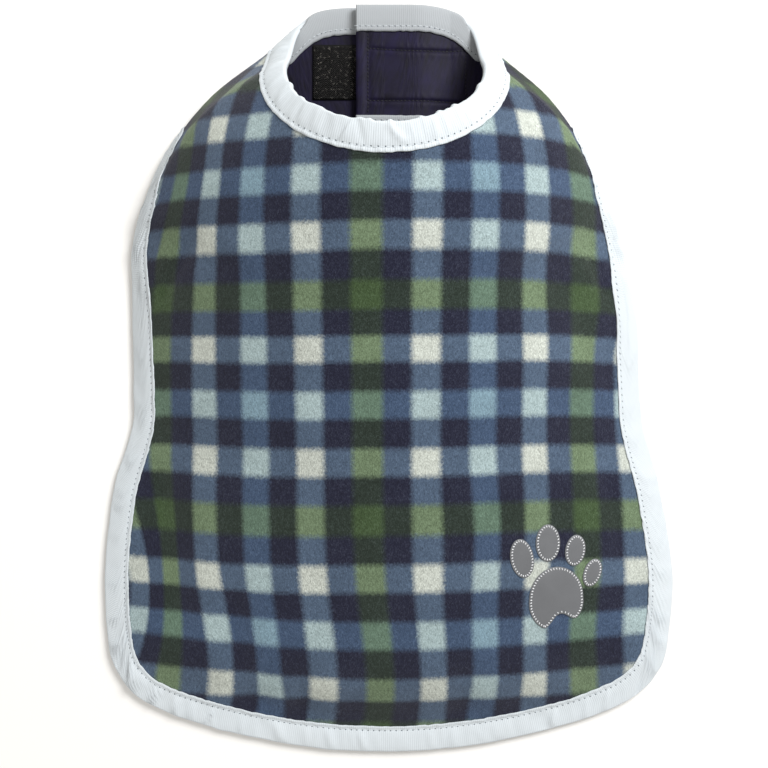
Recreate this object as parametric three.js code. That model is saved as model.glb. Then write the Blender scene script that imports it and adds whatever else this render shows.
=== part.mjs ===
import * as THREE from 'three';

// Dog winter coat of plaid fleece, lying on its open underside with its chest tabs closed.
// Millimetres. X runs across the coat, Y from the hem to the neck, Z up from the table.
// The spine of the coat is at X = 0. The panel is described by its outer fleece face.

// Cloth thicknesses
const FLEECE = 1.6;
const LINING = 1.0;
const RIBBON = 1.0;
const HOOK_TAPE = 1.5;
const LOOP_TAPE = 1.5;
const REFLECTIVE = 0.7;
const GAP = 0.3;

// Depths under the fleece face, and the heights at which the cloth lies on the table
const LINING_TOP = FLEECE + GAP;
const CLOTH_DEPTH = FLEECE + GAP + LINING;
const BINDING_DEPTH = CLOTH_DEPTH + GAP + RIBBON;
const BINDING_RISE = GAP + RIBBON;
const FACE_DOWN_Z = BINDING_RISE;
const FACE_UP_Z = BINDING_DEPTH;
const SNAP_TO_TABLE = 0.6;

// Binding width on each side of the cloth, and its half way line
const BINDING_WIDTH = 18;
const BINDING_HALF = BINDING_WIDTH / 2;

// Chest tabs: how far each passes the centre, and how the upper one climbs over the lower
const LOWER_TAB_PAST_CENTRE = 10;
const UPPER_TAB_PAST_CENTRE = 20;
const TAPES = HOOK_TAPE + LOOP_TAPE + 3 * GAP;
const OVERLAP_LIFT = CLOTH_DEPTH + TAPES;
const OVERLAP_RAMP = { fromX: 20, toX: 56 };
const LOOP_LIFT = LOOP_TAPE;
const LOOP_RAMP = { fromX: 62, toX: 92 };
const LIFTED_FROM_ACROSS = 1.4;
const TAB_BACK = 0.216;

// How square the sections are in plan where they turn under to the front; 1 is an ellipse
const UNDER_SQUARE = 0.48;

// Cells between the two bound edges of the panel, along one rib
const INNER_CELLS = 14;

// How finely ribs and sections are measured, and the least sine of a rib's slant to an edge
const RIB_SAMPLES = 90;
const ARC_SAMPLES = 48;
const NECK_STEP = 0.03;
const LEAST_SINE = 0.3;

// Folds press only cloth that faces up and lies clear of the table
const FOLD_LEAST_NORMAL_Z = 0.3;
const FOLD_LEAST_Z = 2 * FACE_UP_Z;

// Slack for a place on the line between two facets
const ON_FACET = 1e-6;

// A table from a row of column names and rows of values
function table(names, ...rows) {
  return rows.map((row) => Object.fromEntries(names.map((name, i) => [name, row[i]])));
}

// Sections across one half of the coat, in order along the back. back is the share of the spine
// from the neckline. The crown is on the spine, the widest point at the side. A section goes on
// from there under the coat to its foot, at the front centre where the chest tabs lie.
// shape 2 is an ellipse, 1 a parabola, and under 1 the side flares out flat at the edge.
const SECTIONS = table(
  ['back', 'crownY', 'crownZ', 'left', 'right', 'wideY', 'wideZ', 'footX', 'footY', 'shape'],
  [0.000, 160, 97, 66, 66, 207, 54, 0, 260, 2.0],
  [0.045, 141, 94, 88, 84, 200, 47, 0, 240, 1.8],
  [0.110, 114, 89.5, 125, 117, 176, 35, 0, 212, 1.5],
  [0.216, 69.5, 81.5, 160, 148, 127, 17, 0, 167, 1.2],
  [0.250, 55.5, 79, 170, 157.5, 109, 9.5, 60, 140, 1.0],
  [0.290, 39, 76.5, 175, 165, 88, 5.5, 90, 110, 0.98],
  [0.382, 0, 70.5, 174, 174, 38, FACE_UP_Z, 110, 60, 0.95],
  [0.500, -50, 62, 173, 176, -18, FACE_UP_Z, 120, 0, 0.9],
  [0.620, -100, 52, 188, 190, -76, FACE_UP_Z, 120, -60, 0.9],
  [0.740, -150, 41, 193.5, 198.5, -135, FACE_UP_Z, 120, -120, 0.9],
  [0.860, -200, 29, 191, 195, -182, FACE_UP_Z, 120, -170, 0.9],
  [0.930, -227, 12, 183, 186, -204, FACE_UP_Z, 120, -200, 0.9],
  [0.965, -240, 5.2, 177, 178, -213, FACE_UP_Z, 120, -210, 0.95],
  [1.000, -254, FACE_UP_Z, 168, 168, -221, FACE_UP_Z, 120, -215, 1.0],
);

// Ribs of one half of the panel, from the spine round to the tab end. across is 0 at the spine,
// 1 at the widest point, 2 at the front centre and 3 at the upper tab's end. A rib starts on the
// neckline at neckAcross and ends on the outer edge at edgeAcross, edgeBack. With bend it leaves
// the neckline and meets the edge more squarely. cells lie between it and the rib before.
const RIBS = table(
  ['cells', 'neckAcross', 'edgeAcross', 'edgeBack', 'bend'],
  [0, 0.00, 0.00, 1.00, 0.0],
  [5, 0.36, 0.82, 1.00, 0.0],
  [3, 0.48, 0.975, 0.985, 0.0],
  [3, 0.58, 1.00, 0.89, 0.15],
  [3, 0.71, 1.00, 0.70, 0.5],
  [3, 0.83, 1.00, 0.50, 0.8],
  [2, 0.91, 1.00, 0.36, 0.85],
  [2, 0.98, 1.00, 0.27, 0.6],
  [2, 1.13, 1.12, TAB_BACK, 0.0],
  [2, 1.40, 1.42, TAB_BACK, 0.0],
  [3, 1.76, 1.80, TAB_BACK, 0.0],
  [2, 2.00, 2.00, TAB_BACK, 0.0],
  [1, 3.00, 3.00, TAB_BACK, 0.0],
);

// Soft folds of the laid coat: a line in plan, its half width, and its depth (a ridge is minus)
const FOLDS = table(
  ['fromX', 'fromY', 'toX', 'toY', 'halfWidth', 'depth'],
  [-152, -72, -140, -160, 20, 3.0],
  [-104, -150, -88, -222, 20, 3.0],
  [118, 60, 150, 20, 22, 2.5],
  [-55, -200, -55, -245, 16, 1.8],
  [53, -200, 53, -245, 16, 1.8],
);

// Tapes that close the chest: plan rectangles on the tabs
const HOOK_AREA = { fromX: -50, toX: 6, fromY: 197, toY: 235, cellsX: 7, cellsY: 2 };
const LOOP_AREA = { fromX: -11, toX: 44, fromY: 197, toY: 234, cellsX: 7, cellsY: 2 };

// Reflective paw: plan ellipses, half sizes and lean in degrees
const PAW_TOES = table(
  ['x', 'y', 'halfWide', 'halfLong', 'lean'],
  [91, -116, 8.0, 13.4, 12],
  [108.7, -106.2, 8.5, 12.6, 2],
  [128, -112, 7.2, 10.6, -8],
  [140.4, -127.8, 6.3, 9.8, -20],
);
const PAW_PAD = { x: 115.3, y: -143.6, halfWide: 18.8, halfLong: 21, shoulders: 0.16 };
const PAD_NOTCH = { rise: 9.5, at: 0.17, width: 0.6 };
const PAD_LEFT_DROP = 6;
const PAW_OUTLINE = 24;
const PAW_RINGS = 2;

// Smooth curve through a table column, with no overshoot between its rows
function monotone(rows, placeKey, valueKey) {
  const place = rows.map((row) => row[placeKey]);
  const value = rows.map((row) => row[valueKey]);
  const last = rows.length - 1;
  const rise = [];
  for (let i = 0; i < last; i++) {
    rise.push((value[i + 1] - value[i]) / (place[i + 1] - place[i]));
  }
  const slope = [rise[0]];
  for (let i = 1; i < last; i++) {
    const before = place[i] - place[i - 1];
    const after = place[i + 1] - place[i];
    const opposed = rise[i - 1] * rise[i] <= 0;
    const firstWeight = 2 * after + before;
    const secondWeight = after + 2 * before;
    const weighted = firstWeight / rise[i - 1] + secondWeight / rise[i];
    const mean = (firstWeight + secondWeight) / weighted;
    slope.push(opposed ? 0 : mean);
  }
  slope.push(rise[last - 1]);
  return (at) => {
    let i = 0;
    while (i < last - 1 && at > place[i + 1]) i++;
    const span = place[i + 1] - place[i];
    const u = THREE.MathUtils.clamp((at - place[i]) / span, 0, 1);
    const a = value[i] * (1 + 2 * u) * (1 - u) ** 2 + slope[i] * span * u * (1 - u) ** 2;
    const b = value[i + 1] * u * u * (3 - 2 * u) - slope[i + 1] * span * u * u * (1 - u);
    return a + b;
  };
}

const sectionCurves = {};
for (const key of Object.keys(SECTIONS[0])) {
  if (key !== 'back') sectionCurves[key] = monotone(SECTIONS, 'back', key);
}

function sectionAt(back, side) {
  const section = {};
  for (const key in sectionCurves) section[key] = sectionCurves[key](back);
  section.wideX = side > 0 ? section.right : section.left;
  return section;
}

// From the crown to the widest point, turn 0 to 1
function overPoint(section, turn) {
  const round = THREE.MathUtils.clamp(section.shape - 1, 0, 1);
  const out = THREE.MathUtils.lerp(turn, Math.sin(turn * Math.PI / 2), round);
  const height = Math.max(0, 1 - out * out) ** (1 / section.shape);
  return new THREE.Vector3(
    section.wideX * out,
    THREE.MathUtils.lerp(section.wideY, section.crownY, height),
    THREE.MathUtils.lerp(section.wideZ, section.crownZ, height),
  );
}

// From the widest point round under the coat to the foot, turn 0 to 1
function underPoint(section, turn) {
  const angle = turn * Math.PI / 2;
  const forward = Math.sin(angle) ** UNDER_SQUARE;
  const outward = Math.max(0, Math.cos(angle)) ** UNDER_SQUARE;
  return new THREE.Vector3(
    THREE.MathUtils.lerp(section.footX, section.wideX, outward),
    THREE.MathUtils.lerp(section.wideY, section.footY, forward),
    THREE.MathUtils.lerp(FACE_DOWN_Z, section.wideZ, (1 - forward) ** 2),
  );
}

// Turns equal shares of a section's length into turns of its formula
function evenTurn(pointAt, section, share) {
  const lengths = [0];
  let before = pointAt(section, 0);
  for (let i = 1; i <= ARC_SAMPLES; i++) {
    const here = pointAt(section, i / ARC_SAMPLES);
    lengths.push(lengths[i - 1] + here.distanceTo(before));
    before = here;
  }
  const target = share * lengths[ARC_SAMPLES];
  let i = 1;
  while (i < ARC_SAMPLES && lengths[i] < target) i++;
  const part = (target - lengths[i - 1]) / (lengths[i] - lengths[i - 1]);
  return (i - 1 + part) / ARC_SAMPLES;
}

// Height that the upper chest tab gains where it lies over the lower one
function overlapLift(x) {
  const high = 1 - THREE.MathUtils.smoothstep(x, OVERLAP_RAMP.fromX, OVERLAP_RAMP.toX);
  const low = 1 - THREE.MathUtils.smoothstep(x, LOOP_RAMP.fromX, LOOP_RAMP.toX);
  return Math.max(OVERLAP_LIFT * high, LOOP_LIFT * low);
}

// A point of the fleece face. side is -1 on the left and 1 on the right.
function facePoint(side, across, back) {
  const section = sectionAt(back, side);
  let point;
  if (across <= 1) point = overPoint(section, evenTurn(overPoint, section, across));
  else if (across <= 2) point = underPoint(section, evenTurn(underPoint, section, across - 1));
  else {
    point = underPoint(section, 1);
    point.x -= (across - 2) * UPPER_TAB_PAST_CENTRE;
  }
  if (side > 0 && across > 1) {
    const lifted = THREE.MathUtils.smoothstep(across, 1, LIFTED_FROM_ACROSS);
    point.z += overlapLift(point.x) * lifted;
  }
  point.x *= side;
  return point;
}

// The ribs of one half, each a row of points from the neckline to the outer edge
function halfRibs(side) {
  const pastCentre = side > 0 ? UPPER_TAB_PAST_CENTRE : LOWER_TAB_PAST_CENTRE;
  const tabEnd = 2 + pastCentre / UPPER_TAB_PAST_CENTRE;
  const rows = [];
  let count = 0;
  for (const rib of RIBS) {
    count += rib.cells;
    rows.push({ ...rib, at: count });
  }
  const endRow = rows[rows.length - 1];
  endRow.neckAcross = tabEnd;
  endRow.edgeAcross = tabEnd;
  const neckAcross = monotone(rows, 'at', 'neckAcross');
  const edgeAcross = monotone(rows, 'at', 'edgeAcross');
  const edgeBack = monotone(rows, 'at', 'edgeBack');
  const bend = monotone(rows, 'at', 'bend');
  const ribs = [];
  for (let i = 0; i <= count; i++) {
    const [neck, edge, back] = [neckAcross(i), edgeAcross(i), edgeBack(i)];
    ribs.push({ side, neck, edge, back, bend: bend(i) });
  }
  return ribs;
}

function ribPoint(rib, share) {
  const across = THREE.MathUtils.lerp(rib.neck, rib.edge, share ** (1 + rib.bend));
  return facePoint(rib.side, across, rib.back * (1 - (1 - share) ** (1 + rib.bend)));
}

// How far a place lies from a row of points joined by straight lines
function distanceToRow(place, row) {
  const nearest = new THREE.Vector3();
  let least = Infinity;
  for (let k = 0; k + 1 < row.length; k++) {
    const stretch = new THREE.Line3(row[k], row[k + 1]);
    stretch.closestPointToPoint(place, true, nearest);
    least = Math.min(least, nearest.distanceTo(place));
  }
  return least;
}

// Sine of the angle between a rib and the neckline, to set the neck binding's width square to it
function neckSine(ribs, index) {
  const here = ribPoint(ribs[index], 0);
  const inward = ribPoint(ribs[index], NECK_STEP).sub(here).normalize();
  const before = ribPoint(ribs[Math.max(index - 1, 0)], 0);
  const after = ribPoint(ribs[Math.min(index + 1, ribs.length - 1)], 0);
  const along = after.sub(before).normalize();
  return Math.max(LEAST_SINE, along.cross(inward).length());
}

// Lengths along a rib, back from its end, at which it lies half a binding and a whole one from
// the outer edge. Ribs meet that edge at a slant that changes on the way.
function edgeLines(rib, edgeRow, lengths) {
  const lines = [];
  let before = { length: 0, inset: 0 };
  for (let i = RIB_SAMPLES - 1; i >= 0 && lines.length < 2; i--) {
    const length = lengths[RIB_SAMPLES] - lengths[i];
    const away = distanceToRow(ribPoint(rib, i / RIB_SAMPLES), edgeRow);
    const inset = Math.max(away, length * LEAST_SINE, before.inset);
    while (lines.length < 2 && inset >= BINDING_HALF * (lines.length + 1)) {
      const wanted = BINDING_HALF * (lines.length + 1);
      const part = (wanted - before.inset) / (inset - before.inset);
      lines.push(THREE.MathUtils.lerp(before.length, length, part));
    }
    before = { length, inset };
  }
  return lines;
}

// Rib points at set distances: the neck binding's lines, even cells, the edge binding's lines
function spacedRib(ribs, index, edgeRow) {
  const rib = ribs[index];
  const lengths = [0];
  let before = ribPoint(rib, 0);
  for (let i = 1; i <= RIB_SAMPLES; i++) {
    const here = ribPoint(rib, i / RIB_SAMPLES);
    lengths.push(lengths[i - 1] + here.distanceTo(before));
    before = here;
  }
  const total = lengths[RIB_SAMPLES];
  const neckScale = 1 / neckSine(ribs, index);
  const [edgeHalf, edgeWhole] = edgeLines(rib, edgeRow, lengths);
  const from = BINDING_WIDTH * neckScale;
  const to = total - edgeWhole;
  const distances = [0, BINDING_HALF * neckScale];
  for (let i = 0; i <= INNER_CELLS; i++) {
    distances.push(THREE.MathUtils.lerp(from, to, i / INNER_CELLS));
  }
  distances.push(total - edgeHalf, total);
  return distances.map((distance) => {
    let i = 1;
    while (i < RIB_SAMPLES && lengths[i] < distance) i++;
    const part = (distance - lengths[i - 1]) / (lengths[i] - lengths[i - 1]);
    return ribPoint(rib, (i - 1 + part) / RIB_SAMPLES);
  });
}

function halfColumns(side) {
  const ribs = halfRibs(side);
  const edgeRow = ribs.map((rib) => ribPoint(rib, 1));
  return ribs.map((rib, index) => spacedRib(ribs, index, edgeRow));
}

// Normals of the grid, out of the fleece face
function gridNormals(grid) {
  const normals = grid.map((column) => column.map(() => new THREE.Vector3()));
  for (let i = 0; i + 1 < grid.length; i++) {
    for (let j = 0; j + 1 < grid[i].length; j++) {
      const diagonal = grid[i + 1][j + 1].clone().sub(grid[i][j]);
      const other = grid[i][j + 1].clone().sub(grid[i + 1][j]);
      const normal = other.cross(diagonal);
      for (const [a, b] of [[i, j], [i + 1, j], [i, j + 1], [i + 1, j + 1]]) {
        normals[a][b].add(normal);
      }
    }
  }
  return normals.map((column) => column.map((normal) => normal.normalize()));
}

// Depth of the soft folds at a place in plan
function foldDepth(x, y) {
  let depth = 0;
  for (const fold of FOLDS) {
    const run = new THREE.Vector2(fold.toX - fold.fromX, fold.toY - fold.fromY);
    const reach = new THREE.Vector2(x - fold.fromX, y - fold.fromY);
    const along = THREE.MathUtils.clamp(reach.dot(run) / run.lengthSq(), 0, 1);
    const away = reach.sub(run.multiplyScalar(along)).length() / fold.halfWidth;
    depth += fold.depth * Math.exp(-2 * away * away);
  }
  return depth;
}

function panelGrid() {
  const grid = [...halfColumns(-1).reverse(), ...halfColumns(1).slice(1)];
  const flat = gridNormals(grid);
  grid.forEach((column, i) => column.forEach((point, j) => {
    if (flat[i][j].z < FOLD_LEAST_NORMAL_Z || point.z < FOLD_LEAST_Z) return;
    point.addScaledVector(flat[i][j], -foldDepth(point.x, point.y));
  }));
  return grid;
}

const grid = panelGrid();
const normals = gridNormals(grid);
const COLUMNS = grid.length - 1;
const ROWS = grid[0].length - 1;
const SPINE_COLUMN = COLUMNS / 2;

function offsetPoint(i, j, height) {
  return grid[i][j].clone().addScaledVector(normals[i][j], height);
}

// Closed body from points and triangles, turned so that its faces point out
function bodyGeometry(points, triangles) {
  let volume = 0;
  for (const [a, b, c] of triangles) {
    volume += points[a].dot(points[b].clone().cross(points[c]));
  }
  const faces = volume > 0 ? triangles : triangles.map(([a, b, c]) => [a, c, b]);
  const geometry = new THREE.BufferGeometry();
  const positions = points.flatMap((point) => point.toArray());
  geometry.setAttribute('position', new THREE.Float32BufferAttribute(positions, 3));
  geometry.setIndex(faces.flat());
  geometry.computeVertexNormals();
  return geometry;
}

// A four-sided facet as two triangles. Its diagonal leans the same way from the spine on both
// halves, so that every layer of the cloth creases alike.
function splitQuad(a, b, c, d, rightHalf) {
  return rightHalf ? [[a, b, c], [a, c, d]] : [[a, b, d], [b, c, d]];
}

// A sheet between two layers of a grid of points, closed at its rim
function sheetGeometry(upper, lower, spineColumn) {
  const rows = upper[0].length;
  const points = [...upper.flat(), ...lower.flat()];
  const base = upper.length * rows;
  const triangles = [];
  const quad = (a, b, c, d) => triangles.push([a, b, c], [a, c, d]);
  for (let i = 0; i + 1 < upper.length; i++) {
    for (let j = 0; j + 1 < rows; j++) {
      const a = i * rows + j;
      for (const [m, n, o] of splitQuad(a, a + rows, a + rows + 1, a + 1, i >= spineColumn)) {
        triangles.push([m, n, o], [base + m, base + o, base + n]);
      }
    }
    const start = i * rows;
    const end = start + rows - 1;
    quad(start, base + start, base + start + rows, start + rows);
    quad(end + rows, base + end + rows, base + end, end);
  }
  const lastColumn = base - rows;
  for (let j = 0; j + 1 < rows; j++) {
    quad(j, j + 1, base + j + 1, base + j);
    const k = lastColumn + j;
    quad(k, base + k, base + k + 1, k + 1);
  }
  return bodyGeometry(points, triangles);
}

// A layer of the whole panel, at a depth under the fleece face
function panelLayer(depth) {
  return grid.map((column, i) => column.map((point, j) => offsetPoint(i, j, -depth)));
}

// The folded ribbon over one long edge. rows are the grid lines at its inner edge, half way
// and the fold, so that it follows the cloth's own facets.
function bindingGeometry(rows) {
  const [inner, half, fold] = rows;
  const count = 14;
  const points = [];
  for (let i = 0; i <= COLUMNS; i++) {
    const outward = grid[i][fold].clone().sub(grid[i][half]).normalize();
    const atFold = (height, reach) => offsetPoint(i, fold, height).addScaledVector(outward, reach);
    const ring = [
      offsetPoint(i, inner, BINDING_RISE),
      offsetPoint(i, half, BINDING_RISE),
      atFold(BINDING_RISE, 0),
      atFold(BINDING_RISE / 2, BINDING_RISE),
      atFold(-BINDING_DEPTH + BINDING_RISE / 2, BINDING_RISE),
      atFold(-BINDING_DEPTH, 0),
      offsetPoint(i, half, -BINDING_DEPTH),
      offsetPoint(i, inner, -BINDING_DEPTH),
      offsetPoint(i, inner, -CLOTH_DEPTH - GAP),
      offsetPoint(i, half, -CLOTH_DEPTH - GAP),
      atFold(-CLOTH_DEPTH - GAP, GAP),
      atFold(GAP, GAP),
      offsetPoint(i, half, GAP),
      offsetPoint(i, inner, GAP),
    ];
    for (const point of ring) {
      if (point.z < SNAP_TO_TABLE) point.z = 0;
    }
    points.push(...ring);
  }
  const triangles = [];
  const towardFold = fold > inner;
  for (let i = 0; i < COLUMNS; i++) {
    for (let k = 0; k < count; k++) {
      const a = i * count + k;
      const b = i * count + (k + 1) % count;
      const outgoing = k < 5 || (k >= 8 && k < 11);
      const rising = (outgoing === towardFold) === (i >= SPINE_COLUMN);
      triangles.push(...splitQuad(a, a + count, b + count, b, rising));
    }
  }
  const topCaps = [[0, 1, 12, 13], [1, 2, 11, 12], [2, 3, 11]];
  const endCaps = [[3, 4, 10, 11], [4, 5, 10], [5, 6, 9, 10], [6, 7, 8, 9]];
  const end = COLUMNS * count;
  for (const cap of [...topCaps, ...endCaps]) {
    for (let k = 1; k + 1 < cap.length; k++) {
      triangles.push([cap[0], cap[k], cap[k + 1]]);
      triangles.push([end + cap[0], end + cap[k + 1], end + cap[k]]);
    }
  }
  return bodyGeometry(points, triangles);
}

// The place on the faceted fleece face over or under a place in plan, and the normal there
function seat(x, y, side, faceUp) {
  for (let i = 0; i < COLUMNS; i++) {
    const rightHalf = i >= SPINE_COLUMN;
    if (rightHalf !== (side > 0)) continue;
    for (let j = 0; j < ROWS; j++) {
      for (const corner of splitQuad([i, j], [i + 1, j], [i + 1, j + 1], [i, j + 1], rightHalf)) {
        const [a, b, c] = corner.map(([m, n]) => grid[m][n]);
        const doubleArea = (b.x - a.x) * (c.y - a.y) - (c.x - a.x) * (b.y - a.y);
        if ((doubleArea > 0) === faceUp) continue;
        const v = ((x - a.x) * (c.y - a.y) - (c.x - a.x) * (y - a.y)) / doubleArea;
        const w = ((b.x - a.x) * (y - a.y) - (x - a.x) * (b.y - a.y)) / doubleArea;
        if (v < -ON_FACET || w < -ON_FACET || v + w > 1 + ON_FACET) continue;
        const weights = [1 - v - w, v, w];
        const point = new THREE.Vector3();
        const normal = new THREE.Vector3();
        corner.forEach(([m, n], k) => {
          point.addScaledVector(grid[m][n], weights[k]);
          normal.addScaledVector(normals[m][n], weights[k]);
        });
        return { point, normal: normal.normalize() };
      }
    }
  }
  throw new Error(`nothing to seat on at ${x}, ${y}`);
}

// A tape on a chest tab, between two heights over the fleece face
function tapeGeometry(area, side, from, to) {
  const layer = (height) => {
    const columns = [];
    for (let i = 0; i <= area.cellsX; i++) {
      const x = THREE.MathUtils.lerp(area.fromX, area.toX, i / area.cellsX);
      const column = [];
      for (let j = 0; j <= area.cellsY; j++) {
        const y = THREE.MathUtils.lerp(area.fromY, area.toY, j / area.cellsY);
        const place = seat(x, y, side, false);
        column.push(place.point.addScaledVector(place.normal, height));
      }
      columns.push(column);
    }
    return columns;
  };
  return sheetGeometry(layer(to), layer(from), 0);
}

// A reflective patch on the back: its outline shrinks in rings to a centre
function patchGeometry(centreX, centreY, outline) {
  const points = [];
  for (const height of [GAP + REFLECTIVE, GAP]) {
    for (let ring = PAW_RINGS; ring >= 0; ring--) {
      const spots = ring === 0 ? 1 : PAW_OUTLINE;
      for (let k = 0; k < spots; k++) {
        const [dx, dy] = outline(k / PAW_OUTLINE * 2 * Math.PI);
        const share = ring / PAW_RINGS;
        const place = seat(centreX + dx * share, centreY + dy * share, 1, true);
        points.push(place.point.addScaledVector(place.normal, height));
      }
    }
  }
  const layer = PAW_RINGS * PAW_OUTLINE + 1;
  const triangles = [];
  for (let k = 0; k < PAW_OUTLINE; k++) {
    const next = (k + 1) % PAW_OUTLINE;
    for (let ring = 0; ring < PAW_RINGS; ring++) {
      const a = ring * PAW_OUTLINE + k;
      const b = ring * PAW_OUTLINE + next;
      const lastRing = ring === PAW_RINGS - 1;
      const c = lastRing ? layer - 1 : b + PAW_OUTLINE;
      triangles.push([a, b, c], [layer + a, layer + c, layer + b]);
      if (lastRing) continue;
      const d = a + PAW_OUTLINE;
      triangles.push([a, c, d], [layer + a, layer + d, layer + c]);
    }
    triangles.push([k, layer + k, layer + next], [k, layer + next, next]);
  }
  return bodyGeometry(points, triangles);
}

function toeOutline(toe) {
  const lean = THREE.MathUtils.degToRad(toe.lean);
  return (angle) => {
    const along = toe.halfLong * Math.sin(angle);
    const across = toe.halfWide * Math.cos(angle);
    const dx = across * Math.cos(lean) - along * Math.sin(lean);
    const dy = across * Math.sin(lean) + along * Math.cos(lean);
    return [dx, dy];
  };
}

// The heel pad: a round top, and two lobes with a shallow notch between them below
function padOutline(pad) {
  return (angle) => {
    const below = Math.max(0, -Math.sin(angle));
    const out = Math.cos(angle);
    const fromNotch = Math.abs(out - PAD_NOTCH.at) / PAD_NOTCH.width;
    const notch = PAD_NOTCH.rise * Math.max(0, 1 - fromNotch ** 2) ** 2 * below;
    const drop = PAD_LEFT_DROP * Math.max(0, -out) * below ** 3;
    const wide = pad.halfWide * (1 + pad.shoulders * below * Math.abs(out));
    return [wide * out, pad.halfLong * Math.sin(angle) + notch - drop];
  };
}

function clothMaterial(color, roughness, metalness = 0) {
  return new THREE.MeshStandardMaterial({ color, roughness, metalness });
}

const plaidFleece = clothMaterial(0x46586a, 0.95);
const navyNylon = clothMaterial(0x2b2a38, 0.5);
const paleRibbon = clothMaterial(0xdde5e9, 0.8);
const blackTape = clothMaterial(0x1c1a1b, 0.95);
const silverFilm = clothMaterial(0x84868c, 0.45, 0.3);

const coat = new THREE.Group();

function addPiece(name, geometry, material) {
  const mesh = new THREE.Mesh(geometry, material);
  mesh.name = name;
  coat.add(mesh);
}

const fleece = sheetGeometry(panelLayer(0), panelLayer(FLEECE), SPINE_COLUMN);
const lining = sheetGeometry(panelLayer(LINING_TOP), panelLayer(CLOTH_DEPTH), SPINE_COLUMN);
addPiece('fleece_shell', fleece, plaidFleece);
addPiece('nylon_lining', lining, navyNylon);
addPiece('neck_binding', bindingGeometry([2, 1, 0]), paleRibbon);
addPiece('edge_binding', bindingGeometry([ROWS - 2, ROWS - 1, ROWS]), paleRibbon);

const hookFrom = -CLOTH_DEPTH - GAP;
addPiece('hook_tape', tapeGeometry(HOOK_AREA, -1, hookFrom, hookFrom - HOOK_TAPE), blackTape);
addPiece('loop_tape', tapeGeometry(LOOP_AREA, 1, GAP, GAP + LOOP_TAPE), blackTape);

addPiece('paw_pad', patchGeometry(PAW_PAD.x, PAW_PAD.y, padOutline(PAW_PAD)), silverFilm);
PAW_TOES.forEach((toe, index) => {
  addPiece(`paw_toe_${index + 1}`, patchGeometry(toe.x, toe.y, toeOutline(toe)), silverFilm);
});

// The origin is under the middle of the coat, on the table
const bounds = new THREE.Box3().setFromObject(coat);
const middle = bounds.getCenter(new THREE.Vector3());
coat.position.set(-middle.x, -middle.y, -bounds.min.z);

export default coat;
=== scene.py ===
import functools
import math

import bpy
import numpy as np
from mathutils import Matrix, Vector


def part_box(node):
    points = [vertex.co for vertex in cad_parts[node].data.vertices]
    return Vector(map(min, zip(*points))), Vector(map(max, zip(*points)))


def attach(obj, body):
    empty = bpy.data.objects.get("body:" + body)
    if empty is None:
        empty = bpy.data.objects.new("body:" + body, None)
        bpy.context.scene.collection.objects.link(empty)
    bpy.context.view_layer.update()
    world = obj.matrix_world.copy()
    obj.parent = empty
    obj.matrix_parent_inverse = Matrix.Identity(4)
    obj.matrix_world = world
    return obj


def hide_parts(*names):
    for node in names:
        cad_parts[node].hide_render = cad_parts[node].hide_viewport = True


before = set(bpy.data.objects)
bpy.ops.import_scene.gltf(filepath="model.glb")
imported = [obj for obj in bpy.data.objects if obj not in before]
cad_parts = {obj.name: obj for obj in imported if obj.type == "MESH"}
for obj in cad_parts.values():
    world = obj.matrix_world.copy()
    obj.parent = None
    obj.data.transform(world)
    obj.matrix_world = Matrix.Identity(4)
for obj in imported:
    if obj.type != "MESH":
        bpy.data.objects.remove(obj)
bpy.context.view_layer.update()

bl_info = {
    "name": "Plaid dog coat",
    "version": (1, 0, 0),
    "blender": (4, 5, 0),
    "location": "View3D > Sidebar > Dog coat",
    "description": "Fleece, lining, ribbons, tapes and paw patch of a laid dog winter coat",
    "category": "Object",
}

# The coat is worked out in millimetres, with its spine at x = 0, and moved to the frame at the end
MM = 0.001
BODY = "root"

# Cloth thicknesses of the solids, and the depths under the fleece face that they give
FLEECE = 1.6
LINING = 1.0
RIBBON = 1.0
HOOK_TAPE = 1.5
LOOP_TAPE = 1.5
REFLECTIVE = 0.7
GAP = 0.3
LINING_TOP = FLEECE + GAP
CLOTH_DEPTH = FLEECE + GAP + LINING
BINDING_DEPTH = CLOTH_DEPTH + GAP + RIBBON
BINDING_RISE = GAP + RIBBON
FACE_DOWN_Z = BINDING_RISE
FACE_UP_Z = BINDING_DEPTH
BINDING_WIDTH = 18.0
BINDING_HALF = BINDING_WIDTH / 2

# Chest tabs
LOWER_TAB_PAST_CENTRE = 10.0
UPPER_TAB_PAST_CENTRE = 20.0
OVERLAP_LIFT = CLOTH_DEPTH + HOOK_TAPE + LOOP_TAPE + 3 * GAP
OVERLAP_RAMP = (20.0, 56.0)
LOOP_LIFT = LOOP_TAPE
LOOP_RAMP = (62.0, 92.0)
LIFTED_FROM_ACROSS = 1.4
TAB_BACK = 0.216
UNDER_SQUARE = 0.48

# How finely ribs and sections are measured
INNER_CELLS = 14
RIB_SAMPLES = 90
ARC_SAMPLES = 48
NECK_STEP = 0.03
LEAST_SINE = 0.3
FOLD_LEAST_NORMAL_Z = 0.3
FOLD_LEAST_Z = 2 * FACE_UP_Z


def table(names, *rows):
    """A table as one array for each named column."""
    return {name: np.array([row[i] for row in rows], float) for i, name in enumerate(names)}


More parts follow.
